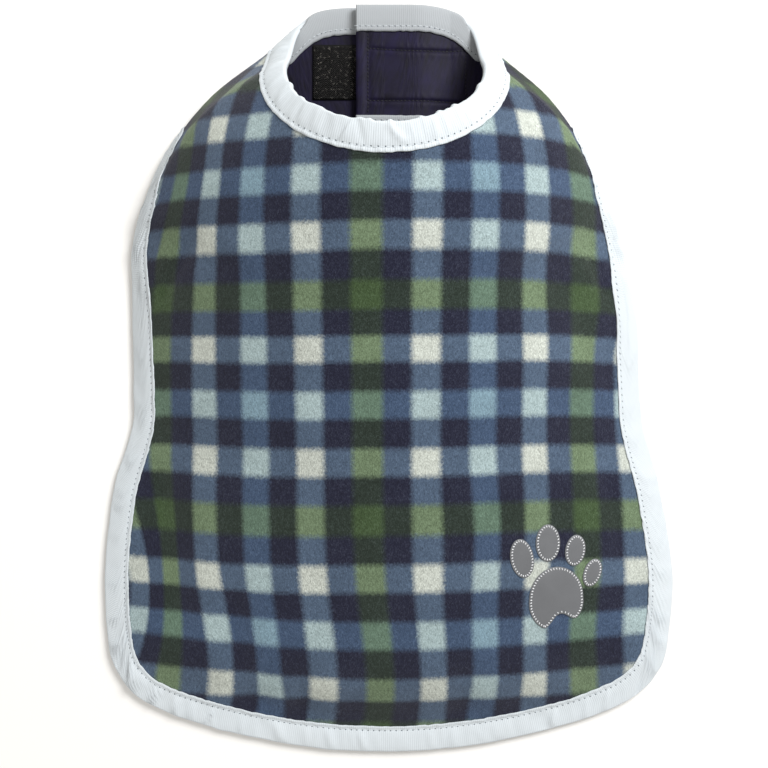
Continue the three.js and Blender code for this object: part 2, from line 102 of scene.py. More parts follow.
# Sections across one half of the coat, in order along the back, as in the solids
SECTIONS = table(
    ("back", "crownY", "crownZ", "left", "right", "wideY", "wideZ", "footX", "footY", "shape"),
    (0.000, 160, 97, 66, 66, 207, 54, 0, 260, 2.0),
    (0.045, 141, 94, 88, 84, 200, 47, 0, 240, 1.8),
    (0.110, 114, 89.5, 125, 117, 176, 35, 0, 212, 1.5),
    (0.216, 69.5, 81.5, 160, 148, 127, 17, 0, 167, 1.2),
    (0.250, 55.5, 79, 170, 157.5, 109, 9.5, 60, 140, 1.0),
    (0.290, 39, 76.5, 175, 165, 88, 5.5, 90, 110, 0.98),
    (0.382, 0, 70.5, 174, 174, 38, FACE_UP_Z, 110, 60, 0.95),
    (0.500, -50, 62, 173, 176, -18, FACE_UP_Z, 120, 0, 0.9),
    (0.620, -100, 52, 188, 190, -76, FACE_UP_Z, 120, -60, 0.9),
    (0.740, -150, 41, 193.5, 198.5, -135, FACE_UP_Z, 120, -120, 0.9),
    (0.860, -200, 29, 191, 195, -182, FACE_UP_Z, 120, -170, 0.9),
    (0.930, -227, 12, 183, 186, -204, FACE_UP_Z, 120, -200, 0.9),
    (0.965, -240, 5.2, 177, 178, -213, FACE_UP_Z, 120, -210, 0.95),
    (1.000, -254, FACE_UP_Z, 168, 168, -221, FACE_UP_Z, 120, -215, 1.0),
)

# Ribs of one half of the panel, from the spine round to the tab end, as in the solids
RIBS = table(
    ("cells", "neckAcross", "edgeAcross", "edgeBack", "bend"),
    (0, 0.00, 0.00, 1.00, 0.0),
    (5, 0.36, 0.82, 1.00, 0.0),
    (3, 0.48, 0.975, 0.985, 0.0),
    (3, 0.58, 1.00, 0.89, 0.15),
    (3, 0.71, 1.00, 0.70, 0.5),
    (3, 0.83, 1.00, 0.50, 0.8),
    (2, 0.91, 1.00, 0.36, 0.85),
    (2, 0.98, 1.00, 0.27, 0.6),
    (2, 1.13, 1.12, TAB_BACK, 0.0),
    (2, 1.40, 1.42, TAB_BACK, 0.0),
    (3, 1.76, 1.80, TAB_BACK, 0.0),
    (2, 2.00, 2.00, TAB_BACK, 0.0),
    (1, 3.00, 3.00, TAB_BACK, 0.0),
)
RIB_COUNT = int(RIBS["cells"].sum())

# Soft folds of the laid coat: a line in plan, its half width, and its depth (a ridge is minus).
# The first rows are those of the solids, the rest are the small ones.
FOLDS = table(
    ("fromX", "fromY", "toX", "toY", "halfWidth", "depth"),
    (-152, -72, -140, -160, 20, 3.0),
    (-104, -150, -88, -222, 20, 3.0),
    (118, 60, 150, 20, 22, 2.5),
    (-55, -200, -55, -245, 16, 1.8),
    (53, -200, 53, -245, 16, 1.8),
    (-55, -206, -55, -240, 2.2, 1.4),
    (53, -206, 53, -240, 2.2, 1.4),
    (-128, 96, -150, 62, 9, 1.6),
    (138, 92, 150, 64, 8, 1.2),
    (150, -60, 165, -120, 12, 1.2),
    (128, -190, 140, -212, 9, 1.2),
    (-120, -196, -132, -214, 8, 1.2),
    (-20, -214, -18, -240, 9, 0.7),
    (22, -212, 20, -240, 9, 0.7),
    (92, -206, 98, -228, 8, 0.9),
)

# Areas of the tapes on the chest tabs, and the rectangle that is stitched round the hidden one
HOOK_AREA = (-50.0, 6.0, 197.0, 235.0)
LOOP_AREA = (-11.0, 44.0, 197.0, 234.0)
STITCHED_BOX = (-10.5, 56.0, 195.0, 231.0)
TAB_SEAM_X = -11.8

# Reflective paw, as in the solids
PAW_TOES = table(
    ("x", "y", "halfWide", "halfLong", "lean"),
    (91, -116, 8.0, 13.4, 12),
    (108.7, -106.2, 8.5, 12.6, 2),
    (128, -112, 7.2, 10.6, -8),
    (140.4, -127.8, 6.3, 9.8, -20),
)
PAW_PAD = {"x": 115.3, "y": -143.6, "half_wide": 18.8, "half_long": 21, "shoulders": 0.16}
PAD_NOTCH = {"rise": 9.5, "at": 0.17, "width": 0.6}
PAD_LEFT_DROP = 6

# The plaid: eight stripes of one width each way, green, navy, white, navy, pale blue, navy, white,
# navy. The green column's middle lies left of the spine, and a pale blue row's crosses the spine
# a little behind the middle of the coat.
STRIPE = 19.0
GREEN_COLUMN_X = -11.5
BLUE_ROW_Y = -12.4

# Where the worn cloth has eased, so that its stripes lie off their places on the flat cut. Rows ease
# along the spine. Pulls move the columns, and the rows, round a place on the cut.
ROW_EASE = table(
    ("flatV", "clothV"),
    (-260, -247),
    (-240, -228),
    (-199, -190),
    (-157, -152),
    (-116, -114),
    (-76, -76),
    (0, 0),
    (36, 38),
    (70, 76),
    (108, 114),
    (142, 150),
    (168, 177),
    (360, 369),
)
ROW_SAG = table(
    ("u", "moveV"),
    (-220, 11),
    (-165, 8),
    (-125, 6.5),
    (-90, 5),
    (-50, 3),
    (0, 1),
    (65, 1.5),
    (103, 3),
    (140, 5.5),
    (180, 9),
    (230, 12),
)
SAG_ENDS = (-175.0, -110.0)
PULLS = table(
    ("u", "v", "halfWide", "halfLong", "moveU", "moveV"),
    (-175, 150, 55, 50, -27, 0),
    (175, 120, 40, 50, -9, 0),
    (168, 62, 42, 42, -7.5, 0),
    (-20, -195, 95, 62, -9, 0),
    (-130, -190, 45, 50, -9, 0),
    (140, -170, 40, 40, 6, 0),
    (-170, 0, 60, 70, 5, 0),
    (-178, -140, 28, 60, -30, 0),
    (-115, -165, 28, 50, -3, 0),
    (64, -90, 30, 40, -4, 0),
)
# Short darts at the hem: place across the flat cut, where they start and end, and the cloth taken in
DARTS = table(
    ("u", "fromV", "toV", "intake", "reach"),
    (-55, -190, -232, 5.0, 30),
    (50, -190, -232, 4.0, 30),
)

# The camera stands straight over the coat. The picture's scale on the floor is in pixels a millimetre.
PICTURE = 768
PIXELS_PER_MM = 1.434
CAMERA_HEIGHT = 800.0
CAMERA_X = -0.7
CAMERA_Y = 0.0


def distance(name, description, default, least=0.0):
    return bpy.props.FloatProperty(name=name, description=description, default=default * MM,
                                   min=least * MM, subtype="DISTANCE", unit="LENGTH")


def tint(name, description, default):
    return bpy.props.FloatVectorProperty(name=name, description=description, default=default,
                                         min=0, max=1, subtype="COLOR")


class CoatSizes(bpy.types.PropertyGroup):
    """Sizes that change the coat's looks and not its solids."""
    stitch_pitch: distance("Stitch pitch", "From one stitch of the bindings to the next", 4.0, 1.5)
    stitch_inset: distance("Stitch inset", "From a ribbon's edge to its row of stitches", 3.4)
    thread_radius: distance("Thread radius", "Radius of the sewing thread", 0.22)
    ribbon_rib: distance("Ribbon rib", "Pitch of the ribbon's crosswise ribs", 1.35, 0.2)
    hook_pitch: distance("Hook pitch", "Spacing of the hooks on the hook tape", 1.45, 0.8)
    edging_pitch: distance("Edging pitch", "Spacing of the threads round the paw patches", 2.1, 0.5)
    pucker: distance("Pucker", "Height of the puckers in the ribbons", 1.5)


class CoatColours(bpy.types.PropertyGroup):
    """Colours of the coat's cloths."""
    binding: tint("Binding", "Pale ribbon of the bindings", (0.650, 0.700, 0.733))
    nylon: tint("Lining", "Navy nylon of the lining", (0.0075, 0.0065, 0.0125))
    tape: tint("Tape", "Black hook-and-loop tape", (0.005, 0.005, 0.005))
    film: tint("Reflective film", "Silver-grey reflective cloth", (0.175, 0.181, 0.192))
    edging: tint("Edging thread", "Bright thread round the paw patches", (0.72, 0.73, 0.75))


def sizes():
    return bpy.context.scene.coat_sizes


def colours():
    return bpy.context.scene.coat_colours


# Formulas of the coat's form


def lerp(a, b, share):
    return a + (b - a) * share


def smoothstep(x, low, high):
    share = np.clip((x - low) / (high - low), 0, 1)
    return share * share * (3 - 2 * share)


def unit(vectors):
    return vectors / np.maximum(np.linalg.norm(vectors, axis=-1, keepdims=True), 1e-12)


def monotone(place, value):
    """Smooth curve through a table column, with no overshoot between its rows."""
    span = np.diff(place)
    rise = np.diff(value) / span
    slope = np.zeros(len(value))
    slope[0] = rise[0]
    slope[-1] = rise[-1]
    before = rise[:-1]
    after = rise[1:]
    first = 2 * span[1:] + span[:-1]
    second = span[1:] + 2 * span[:-1]
    same = before * after > 0
    safe_before = np.where(same, before, 1)
    safe_after = np.where(same, after, 1)
    mean = (first + second) / (first / safe_before + second / safe_after)
    slope[1:-1] = np.where(same, mean, 0)

    def curve(at):
        i = np.clip(np.searchsorted(place, at, side="left") - 1, 0, len(span) - 1)
        u = np.clip((at - place[i]) / span[i], 0, 1)
        start = value[i] * (1 + 2 * u) * (1 - u) ** 2 + slope[i] * span[i] * u * (1 - u) ** 2
        end = value[i + 1] * u * u * (3 - 2 * u) - slope[i + 1] * span[i] * u * u * (1 - u)
        return start + end

    return curve


SECTION_CURVES = {name: monotone(SECTIONS["back"], SECTIONS[name]) for name in SECTIONS if name != "back"}


def section_at(back, side):
    section = {name: curve(back) for name, curve in SECTION_CURVES.items()}
    section["wideX"] = section["right"] if side > 0 else section["left"]
    return section


def over_point(section, turn):
    """From the crown to the widest point, turn 0 to 1."""
    rounded = np.clip(section["shape"] - 1, 0, 1)
    out = lerp(turn, np.sin(turn * math.pi / 2), rounded)
    height = np.maximum(0, 1 - out * out) ** (1 / section["shape"])
    x = section["wideX"] * out
    y = lerp(section["wideY"], section["crownY"], height)
    z = lerp(section["wideZ"], section["crownZ"], height)
    return np.stack(np.broadcast_arrays(x, y, z), axis=-1)


def under_point(section, turn):
    """From the widest point round under the coat to the foot, turn 0 to 1."""
    angle = turn * math.pi / 2
    forward = np.sin(angle) ** UNDER_SQUARE
    outward = np.maximum(0, np.cos(angle)) ** UNDER_SQUARE
    x = lerp(section["footX"], section["wideX"], outward)
    y = lerp(section["wideY"], section["footY"], forward)
    z = lerp(FACE_DOWN_Z, section["wideZ"], (1 - forward) ** 2)
    return np.stack(np.broadcast_arrays(x, y, z), axis=-1)


def even_turn(point_at, section, share):
    """Turns equal shares of a section's length into turns of its formula."""
    turns = np.linspace(0, 1, ARC_SAMPLES + 1)
    points = np.array([point_at(section, np.full(share.shape, turn)) for turn in turns])
    steps = np.linalg.norm(np.diff(points, axis=0), axis=-1)
    lengths = np.concatenate([np.zeros((1,) + share.shape), np.cumsum(steps, axis=0)])
    target = share * lengths[-1]
    i = np.clip((lengths < target).sum(axis=0), 1, ARC_SAMPLES)[None]
    low = np.take_along_axis(lengths, i - 1, axis=0)[0]
    high = np.take_along_axis(lengths, i, axis=0)[0]
    part = (target - low) / np.maximum(high - low, 1e-9)
    return (i[0] - 1 + part) / ARC_SAMPLES


def overlap_lift(x):
    """Height that the upper chest tab gains where it lies over the lower one."""
    high = 1 - smoothstep(x, *OVERLAP_RAMP)
    low = 1 - smoothstep(x, *LOOP_RAMP)
    return np.maximum(OVERLAP_LIFT * high, LOOP_LIFT * low)


def face_points(side, across, back):
    """Points of the fleece face. side is -1 on the left and 1 on the right."""
    shape = across.shape
    across = across.ravel()
    section = section_at(np.broadcast_to(back, shape).ravel(), side)
    over = over_point(section, even_turn(over_point, section, np.clip(across, 0, 1)))
    under = under_point(section, even_turn(under_point, section, np.clip(across - 1, 0, 1)))
    points = np.where(across[:, None] <= 1, over, under)
    points[:, 0] -= np.maximum(0, across - 2) * UPPER_TAB_PAST_CENTRE
    if side > 0:
        lifted = np.where(across > 1, smoothstep(across, 1, LIFTED_FROM_ACROSS), 0)
        points[:, 2] += overlap_lift(points[:, 0]) * lifted
    points[:, 0] *= side
    return points.reshape(shape + (3,))


@functools.lru_cache(maxsize=None)
def rib_curves(side):
    past = UPPER_TAB_PAST_CENTRE if side > 0 else LOWER_TAB_PAST_CENTRE
    places = np.cumsum(RIBS["cells"])
    curves = {}
    for name in ("neckAcross", "edgeAcross", "edgeBack", "bend"):
        column = RIBS[name].copy()
        if name.endswith("Across"):
            column[-1] = 2 + past / UPPER_TAB_PAST_CENTRE
        curves[name] = monotone(places, column)
    return curves


def rib_points(side, at, share):
    """Points at shares of the way along the ribs at the places at. One row for each rib."""
    curves = rib_curves(side)
    neck, edge, edge_back, bend = (curves[name](at)[:, None] for name in
                                   ("neckAcross", "edgeAcross", "edgeBack", "bend"))
    share = np.broadcast_to(share, (len(at), np.shape(share)[-1]))
    across = lerp(neck, edge, share ** (1 + bend))
    back = edge_back * (1 - (1 - share) ** (1 + bend))
    return face_points(side, across, back)


def neck_sine(side, at):
    """Sine of the angle between a rib and the neckline."""
    here = rib_points(side, at, np.array([0.0, NECK_STEP]))
    before = rib_points(side, np.maximum(at - 1, 0), np.array([0.0]))[:, 0]
    after = rib_points(side, np.minimum(at + 1, RIB_COUNT), np.array([0.0]))[:, 0]
    crossed = np.cross(unit(after - before), unit(here[:, 1] - here[:, 0]))
    return np.maximum(LEAST_SINE, np.linalg.norm(crossed, axis=-1))


def edge_lines(side, points, lengths):
    """Lengths back along ribs at which they lie half a binding and a whole one from the outer edge."""
    places = np.linspace(0, RIB_COUNT, 3 * RIB_COUNT + 1)
    row = rib_points(side, places, np.array([1.0]))[:, 0]
    points = points[:, ::-1]
    lengths = lengths[:, -1:] - lengths[:, ::-1]
    first, run = row[:-1], np.diff(row, axis=0)
    insets = [np.zeros(len(points))]
    for k in range(1, points.shape[1]):
        away = points[:, k, None] - first
        part = np.clip((away * run).sum(axis=-1) / (run * run).sum(axis=-1), 0, 1)
        distance = np.linalg.norm(away - part[..., None] * run, axis=-1).min(axis=1)
        insets.append(np.maximum(np.maximum(distance, lengths[:, k] * LEAST_SINE), insets[-1]))
    insets = np.array(insets).T
    wanted = (BINDING_HALF, BINDING_WIDTH)
    return np.array([np.interp(wanted, inset, length) for inset, length in zip(insets, lengths)]).T


def half_grid(side, at, steps):
    """Rows of points along the ribs at the places at, with steps cells in each of a rib's stretches."""
    samples = np.linspace(0, 1, RIB_SAMPLES + 1)
    points = rib_points(side, at, samples)
    lengths = np.linalg.norm(np.diff(points, axis=1), axis=-1)
    lengths = np.concatenate([np.zeros((len(at), 1)), np.cumsum(lengths, axis=1)], axis=1)
    total = lengths[:, -1]
    neck = 1 / neck_sine(side, at)
    edge_half, edge_whole = edge_lines(side, points, lengths)
    inner = np.linspace(0, 1, INNER_CELLS + 1)
    distances = np.concatenate([
        np.zeros((len(at), 1)),
        (BINDING_HALF * neck)[:, None],
        lerp((BINDING_WIDTH * neck)[:, None], (total - edge_whole)[:, None], inner),
        (total - edge_half)[:, None],
        total[:, None],
    ], axis=1)
    fine = [distances[:, :1]]
    for j, count in enumerate(steps):
        shares = np.arange(1, count + 1) / count
        fine.append(lerp(distances[:, j:j + 1], distances[:, j + 1:j + 2], shares))
    fine = np.concatenate(fine, axis=1)
    shares = np.array([np.interp(row, line, samples) for row, line in zip(fine, lengths)])
    return rib_points(side, at, shares), fine


def fold_depth(x, y, folds=FOLDS):
    """Depth of the soft folds at places in plan."""
    depth = np.zeros(np.shape(x))
    for fx, fy, tx, ty, half, deep in zip(*folds.values()):
        run = np.array([tx - fx, ty - fy])
        along = np.clip(((x - fx) * run[0] + (y - fy) * run[1]) / (run @ run), 0, 1)
        away = np.hypot(x - fx - run[0] * along, y - fy - run[1] * along) / half
        depth += deep * np.exp(-2 * away * away)
    return depth


def grid_normals(grid):
    """Normals of the grid, out of the fleece face."""
    diagonal = grid[1:, 1:] - grid[:-1, :-1]
    other = grid[:-1, 1:] - grid[1:, :-1]
    facet = np.cross(other, diagonal)
    normals = np.zeros_like(grid)
    normals[:-1, :-1] += facet
    normals[1:, :-1] += facet
    normals[:-1, 1:] += facet
    normals[1:, 1:] += facet
    return unit(normals)


ALL_STRETCHES = INNER_CELLS + 4


def stretches(at_edge, inside):
    """Cells in each stretch of a rib: the four under the bindings and the inner ones."""
    return (at_edge, at_edge) + (inside,) * INNER_CELLS + (at_edge, at_edge)


def cloth_grid(columns, steps, folds=FOLDS):
    """The fleece face at column places from -RIB_COUNT, the left tab's end, to RIB_COUNT."""
    left = -columns[columns < 0]
    right = columns[columns >= 0]
    left_points, left_lengths = half_grid(-1, left, steps)
    right_points, right_lengths = half_grid(1, right, steps)
    grid = np.concatenate([left_points, right_points])
    lengths = np.concatenate([left_lengths, right_lengths])
    flat = grid_normals(grid)
    pressed = (flat[..., 2] >= FOLD_LEAST_NORMAL_Z) & (grid[..., 2] >= FOLD_LEAST_Z)
    depth = np.where(pressed, fold_depth(grid[..., 0], grid[..., 1], folds), 0)
    grid = grid - flat * depth[..., None]
    return grid, lengths


def even_columns(per_cell):
    return np.arange(-RIB_COUNT * per_cell, RIB_COUNT * per_cell + 1) / per_cell


@functools.lru_cache(maxsize=None)
def coarse_grid():
    """The grid of the solids, without the small folds."""
    solid_folds = {name: column[:5] for name, column in FOLDS.items()}
    return cloth_grid(even_columns(1), (1,) * ALL_STRETCHES, solid_folds)


@functools.lru_cache(maxsize=None)
def frame_shift():
    """From the spine's millimetres to the frame, by the solids' own box."""
    grid, _ = coarse_grid()
    normals = grid_normals(grid)
    cloth = np.concatenate([grid.reshape(-1, 3), (grid - normals * FLEECE).reshape(-1, 3)])
    middle = (cloth.min(axis=0) + cloth.max(axis=0)) / 2
    low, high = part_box("fleece_shell")
    found = (np.array(low) + np.array(high)) / 2 / MM
    return np.array([found[0] - middle[0], found[1] - middle[1], 0.0])


# Laying the cloth out flat, so that the plaid runs over it as on the cut panel


def grid_faces(columns, rows):
    """Quads of a grid, facing the way that its columns turn to its rows."""
    i, j = np.meshgrid(np.arange(columns - 1), np.arange(rows - 1), indexing="ij")
    a = (i * rows + j).ravel()
    return np.stack([a, a + 1, a + rows + 1, a + rows], axis=1)


FLATTEN_ROUNDS = 60
# A side of a triangle counts by the cotangent of the angle across from it, kept in this range
LEAST_WEIGHT, MOST_WEIGHT = 0.05, 20


def flatten(points, triangles, start):
    """Lays a surface out flat with each triangle kept as near its own shape as it goes."""
    corners = points[triangles]
    first = corners[:, 1] - corners[:, 0]
    second = corners[:, 2] - corners[:, 0]
    width = np.linalg.norm(first, axis=1)
    local = np.zeros((len(triangles), 3, 2))
    local[:, 1, 0] = width
    local[:, 2, 0] = (first * second).sum(axis=1) / width
    local[:, 2, 1] = np.linalg.norm(np.cross(first, second), axis=1) / width
    count = len(points)
    matrix = np.zeros((count, count))
    sides = []
    for k in range(3):
        i = triangles[:, (k + 1) % 3]
        j = triangles[:, (k + 2) % 3]
        edge = local[:, (k + 1) % 3] - local[:, (k + 2) % 3]
        to_i = local[:, (k + 1) % 3] - local[:, k]
        to_j = local[:, (k + 2) % 3] - local[:, k]
        cross = np.abs(to_i[:, 0] * to_j[:, 1] - to_i[:, 1] * to_j[:, 0])
        weight = (to_i * to_j).sum(axis=1) / np.maximum(cross, 1e-9)
        weight = np.clip(weight, LEAST_WEIGHT, MOST_WEIGHT)
        np.add.at(matrix, (i, i), weight)
        np.add.at(matrix, (j, j), weight)
        np.add.at(matrix, (i, j), -weight)
        np.add.at(matrix, (j, i), -weight)
        sides.append((i, j, weight[:, None], edge))
    # The first point is held in its place
    matrix[0, 0] += 1.0
    inverse = np.linalg.inv(matrix)
    flat = start - start[0]
    for _ in range(FLATTEN_ROUNDS):
        spread = sum(
            w[:, :, None] * (flat[i] - flat[j])[:, :, None] * e[:, None, :]
            for i, j, w, e in sides)
        angle = np.arctan2(spread[:, 1, 0] - spread[:, 0, 1], spread[:, 0, 0] + spread[:, 1, 1])
        cos, sin = np.cos(angle)[:, None], np.sin(angle)[:, None]
        target = np.zeros((count, 2))
        for i, j, w, e in sides:
            across, up = e[:, :1], e[:, 1:]
            turned = w * np.concatenate([cos * across - sin * up, sin * across + cos * up], axis=1)
            np.add.at(target, i, turned)
            np.add.at(target, j, -turned)
        flat = inverse @ target
    return flat


def spline(knots, values, at):
    """Smooth curve through values at the knots, read at the places at."""
    span = np.diff(knots)
    count = len(knots)
    system = np.eye(count)
    right = np.zeros_like(values)
    for i in range(1, count - 1):
        system[i, i - 1:i + 2] = (span[i - 1], 2 * (span[i - 1] + span[i]), span[i])
        right[i] = 6 * ((values[i + 1] - values[i]) / span[i] - (values[i] - values[i - 1]) / span[i - 1])
    bend = np.linalg.solve(system, right)
    i = np.clip(np.searchsorted(knots, at, side="right") - 1, 0, count - 2)
    u = ((at - knots[i]) / span[i])[:, None]
    width = span[i][:, None]
    straight = lerp(values[i], values[i + 1], u)
    low = ((1 - u) ** 3 - (1 - u)) * bend[i]
    high = (u ** 3 - u) * bend[i + 1]
    return straight + width ** 2 / 6 * (low + high)


# The fan that the cloth is first spread on, before it is laid out: its radius and its widest turn
FAN_RADIUS = 160
FAN_ARC = 260
FAN_TURN = 1.2
RIB_READINGS = 241


@functools.lru_cache(maxsize=None)
def flat_cut():
    """The coarse grid laid out flat, in millimetres, with the spine upright at x = 0."""
    grid, lengths = coarse_grid()
    columns, rows = grid.shape[:2]
    quads = grid_faces(columns, rows)
    triangles = np.concatenate([quads[:, [0, 1, 2]], quads[:, [0, 2, 3]]])
    start = np.zeros((columns, rows, 2))
    spine = RIB_COUNT
    middle = grid[:, rows // 2]
    across = np.concatenate([[0], np.cumsum(np.linalg.norm(np.diff(middle, axis=0), axis=1))])
    start[..., 0] = (across - across[spine])[:, None]
    turn = np.clip(start[..., 0] / FAN_ARC, -FAN_TURN, FAN_TURN)
    radius = FAN_RADIUS + lengths
    start[..., 0] = radius * np.sin(turn)
    start[..., 1] = FAN_RADIUS - radius * np.cos(turn)
    flat = flatten(grid.reshape(-1, 3), triangles, start.reshape(-1, 2)).reshape(columns, rows, 2)
    down = flat[spine, -1] - flat[spine, 0]
    angle = math.atan2(down[0], -down[1])
    turned = np.stack([
        flat[..., 0] * math.cos(angle) + flat[..., 1] * math.sin(angle),
        -flat[..., 0] * math.sin(angle) + flat[..., 1] * math.cos(angle),
    ], axis=-1)
    spine_y = grid[spine, :, 1]
    zero_v = np.interp(-BLUE_ROW_Y, -spine_y, turned[spine, :, 1])
    spine_u = np.interp(-BLUE_ROW_Y, -spine_y, turned[spine, :, 0])
    return turned - np.array([spine_u, zero_v])


def flat_points(columns, lengths):
    """Places on the flat cut of a finer grid's points."""
    coarse = flat_cut()
    _, knots = coarse_grid()
    places = np.arange(-RIB_COUNT, RIB_COUNT + 1, dtype=float)
    rows = lengths.shape[1]
    shares = lengths / lengths[:, -1:]
    knot_shares = knots / knots[:, -1:]
    # Along each coarse rib at even shares first, then across the ribs
    even = np.linspace(0, 1, RIB_READINGS)
    along = np.array([spline(knot_shares[c], coarse[c], even) for c in range(len(places))])
    across = spline(places, along.reshape(len(places), -1), columns).reshape(len(columns), len(even), 2)
    result = np.empty((len(columns), rows, 2))
    for c in range(len(columns)):
        for k in range(2):
            result[c, :, k] = np.interp(shares[c], even, across[c, :, k])
    return result


def plaid_places(flat):
    """Places on the plaid of places on the flat cut."""
    u, v = flat[..., 0], flat[..., 1]
    eased = np.stack([u, monotone(ROW_EASE["flatV"], ROW_EASE["clothV"])(v)], axis=-1)
    eased[..., 1] += monotone(ROW_SAG["u"], ROW_SAG["moveV"])(u) * smoothstep(v, *SAG_ENDS)
    for middle_u, middle_v, wide, long, move_u, move_v in zip(*PULLS.values()):
        near = np.exp(-((u - middle_u) / wide) ** 2 - ((v - middle_v) / long) ** 2)
        eased += near[..., None] * (move_u, move_v)
    for middle, start, end, intake, reach in zip(*DARTS.values()):
        away = u - middle
        taken = intake * np.clip((v - start) / (end - start), 0, 1)
        eased[..., 0] += np.sign(away) * taken / 2 * np.exp(-(away / reach) ** 2)
    return eased


# Meshes


def linked(name, data):
    """A new object of the scene."""
    made = bpy.data.objects.new(name, data)
    bpy.context.scene.collection.objects.link(made)
    return made


def mesh_object(name, points, faces, material, uv):
    """A piece from points in the spine's millimetres. uv is in millimetres of cloth, one row a point."""
    mesh = bpy.data.meshes.new(name)
    placed = (np.asarray(points, float) + frame_shift()) * MM
    counts = [len(face) for face in faces]
    mesh.from_pydata(placed.tolist(), [], [list(map(int, face)) for face in faces])
    layer = mesh.uv_layers.new(name="cloth")
    corners = np.empty(sum(counts), np.int32)
    mesh.loops.foreach_get("vertex_index", corners)
    layer.data.foreach_set("uv", (np.asarray(uv)[corners] * MM).astype(np.float32).ravel())
    mesh.polygons.foreach_set("use_smooth", [True] * len(mesh.polygons))
    mesh.materials.append(material)
    mesh.update()
    return linked(name, mesh)


def wall(outer, inner, uv):
    """A closed wall of cloth between two grids: points, faces and the cloth's own coordinates."""
    columns, rows = outer.shape[:2]
    base = columns * rows
    quads = grid_faces(columns, rows)
    faces = [quads, quads[:, ::-1] + base]
    first = np.arange(columns - 1) * rows
    last = first + rows - 1
    faces.append(np.stack([first, first + rows, first + rows + base, first + base], axis=1))
    faces.append(np.stack([last, last + base, last + rows + base, last + rows], axis=1))
    near = np.arange(rows - 1)
    far = near + base - rows
    faces.append(np.stack([near, near + base, near + 1 + base, near + 1], axis=1))
    faces.append(np.stack([far, far + 1, far + 1 + base, far + base], axis=1))
    points = np.concatenate([outer.reshape(-1, 3), inner.reshape(-1, 3)])
    cloth = np.concatenate([uv.reshape(-1, 2)] * 2)
    return points, np.concatenate(faces), cloth


def dress(piece, node):
    """Makes a finished piece ride on the coat, in the place of its solid."""
    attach(piece, BODY)
    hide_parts(node)


# Materials


class Value:
    """A socket of numbers that takes part in Python expressions."""

    def __init__(self, shader, socket):
        self.shader = shader
        self.socket = socket

    def math(self, operation, *others, clamp=False):
        made = self.shader.node("ShaderNodeMath", {"operation": operation, "use_clamp": clamp},
                                dict(enumerate((self,) + others)))
        return Value(self.shader, made.outputs[0])

    def __add__(self, other):
        return self.math("ADD", other)

    def __sub__(self, other):
        return self.math("SUBTRACT", other)

    def __rsub__(self, other):
        return (self * -1) + other

    def __mul__(self, other):
        return self.math("MULTIPLY", other)

    def __truediv__(self, other):
        return self.math("DIVIDE", other)

    def fract(self):
        return self.math("FRACT")

    def abs(self):
        return self.math("ABSOLUTE")

    def clamp(self):
        return self.math("ADD", 0.0, clamp=True)

    def at_least(self, other):
        return self.math("MAXIMUM", other)

    def power(self, other):
        return self.math("POWER", other)


class Shader:
    """A material with a Principled shader, and short calls for its other nodes."""

    def __init__(self, name, **constants):
        self.material = bpy.data.materials.new(name)
        self.material.use_nodes = True
        self.tree = self.material.node_tree
        self.tree.nodes.clear()
        self.surface = self.node("ShaderNodeBsdfPrincipled", {}, constants)
        output = self.node("ShaderNodeOutputMaterial")
        self.tree.links.new(self.surface.outputs[0], output.inputs["Surface"])

    def node(self, kind, settings=None, inputs=None):
        made = self.tree.nodes.new(kind)
        for name, setting in (settings or {}).items():
            setattr(made, name, setting)
        for name, given in (inputs or {}).items():
            key = name.replace("_", " ") if isinstance(name, str) else name
            self.feed(made.inputs[key], given)
        return made

    def feed(self, socket, given):
        if isinstance(given, Value):
            self.tree.links.new(given.socket, socket)
        elif isinstance(given, bpy.types.NodeSocket):
            self.tree.links.new(given, socket)
        elif hasattr(given, "__len__") and len(given) == 3 and len(socket.default_value) == 4:
            socket.default_value = (*given, 1.0)
        else:
            socket.default_value = given

    def cloth(self):
        """The piece's own cloth coordinates, as two values in metres."""
        place = self.node("ShaderNodeUVMap", {"uv_map": "cloth"})
        parts = self.node("ShaderNodeSeparateXYZ", {}, {0: place.outputs[0]})
        return Value(self, parts.outputs[0]), Value(self, parts.outputs[1])

    def cloth_vector(self, scale_u=1.0, scale_v=1.0):
        place = self.node("ShaderNodeUVMap", {"uv_map": "cloth"})
        made = self.node("ShaderNodeVectorMath", {"operation": "MULTIPLY"},
                         {0: place.outputs[0], 1: (scale_u, scale_v, 1.0)})
        return made.outputs[0]

    def object_vector(self):
        return self.node("ShaderNodeTexCoord").outputs["Object"]

    def noise(self, vector, scale, detail=2.0, roughness=0.5, distortion=0.0):
        made = self.node("ShaderNodeTexNoise", {}, {
            "Vector": vector, "Scale": scale, "Detail": detail,
            "Roughness": roughness, "Distortion": distortion})
        return Value(self, made.outputs[0])

    def mix(self, factor, first, second, blend="MIX"):
        made = self.node("ShaderNodeMix", {"data_type": "RGBA", "blend_type": blend},
                         {0: factor, 6: first, 7: second})
        return made.outputs[2]

    def colour(self, given):
        self.feed(self.surface.inputs["Base Color"], given)

    def bump(self, height, strength, distance):
        made = self.node("ShaderNodeBump", {}, {"Height": height, "Strength": strength, "Distance": distance})
        self.feed(self.surface.inputs["Normal"], made.outputs[0])


def stripe_mask(place, middle, repeat, half, softness):
    """1 on stripes of the given half width, every repeat, with soft edges. All are in stripe widths."""
    away = ((place - middle) / repeat + 0.5).fract() - 0.5
    return ((half - away.abs() * repeat) / softness + 0.5).clamp()


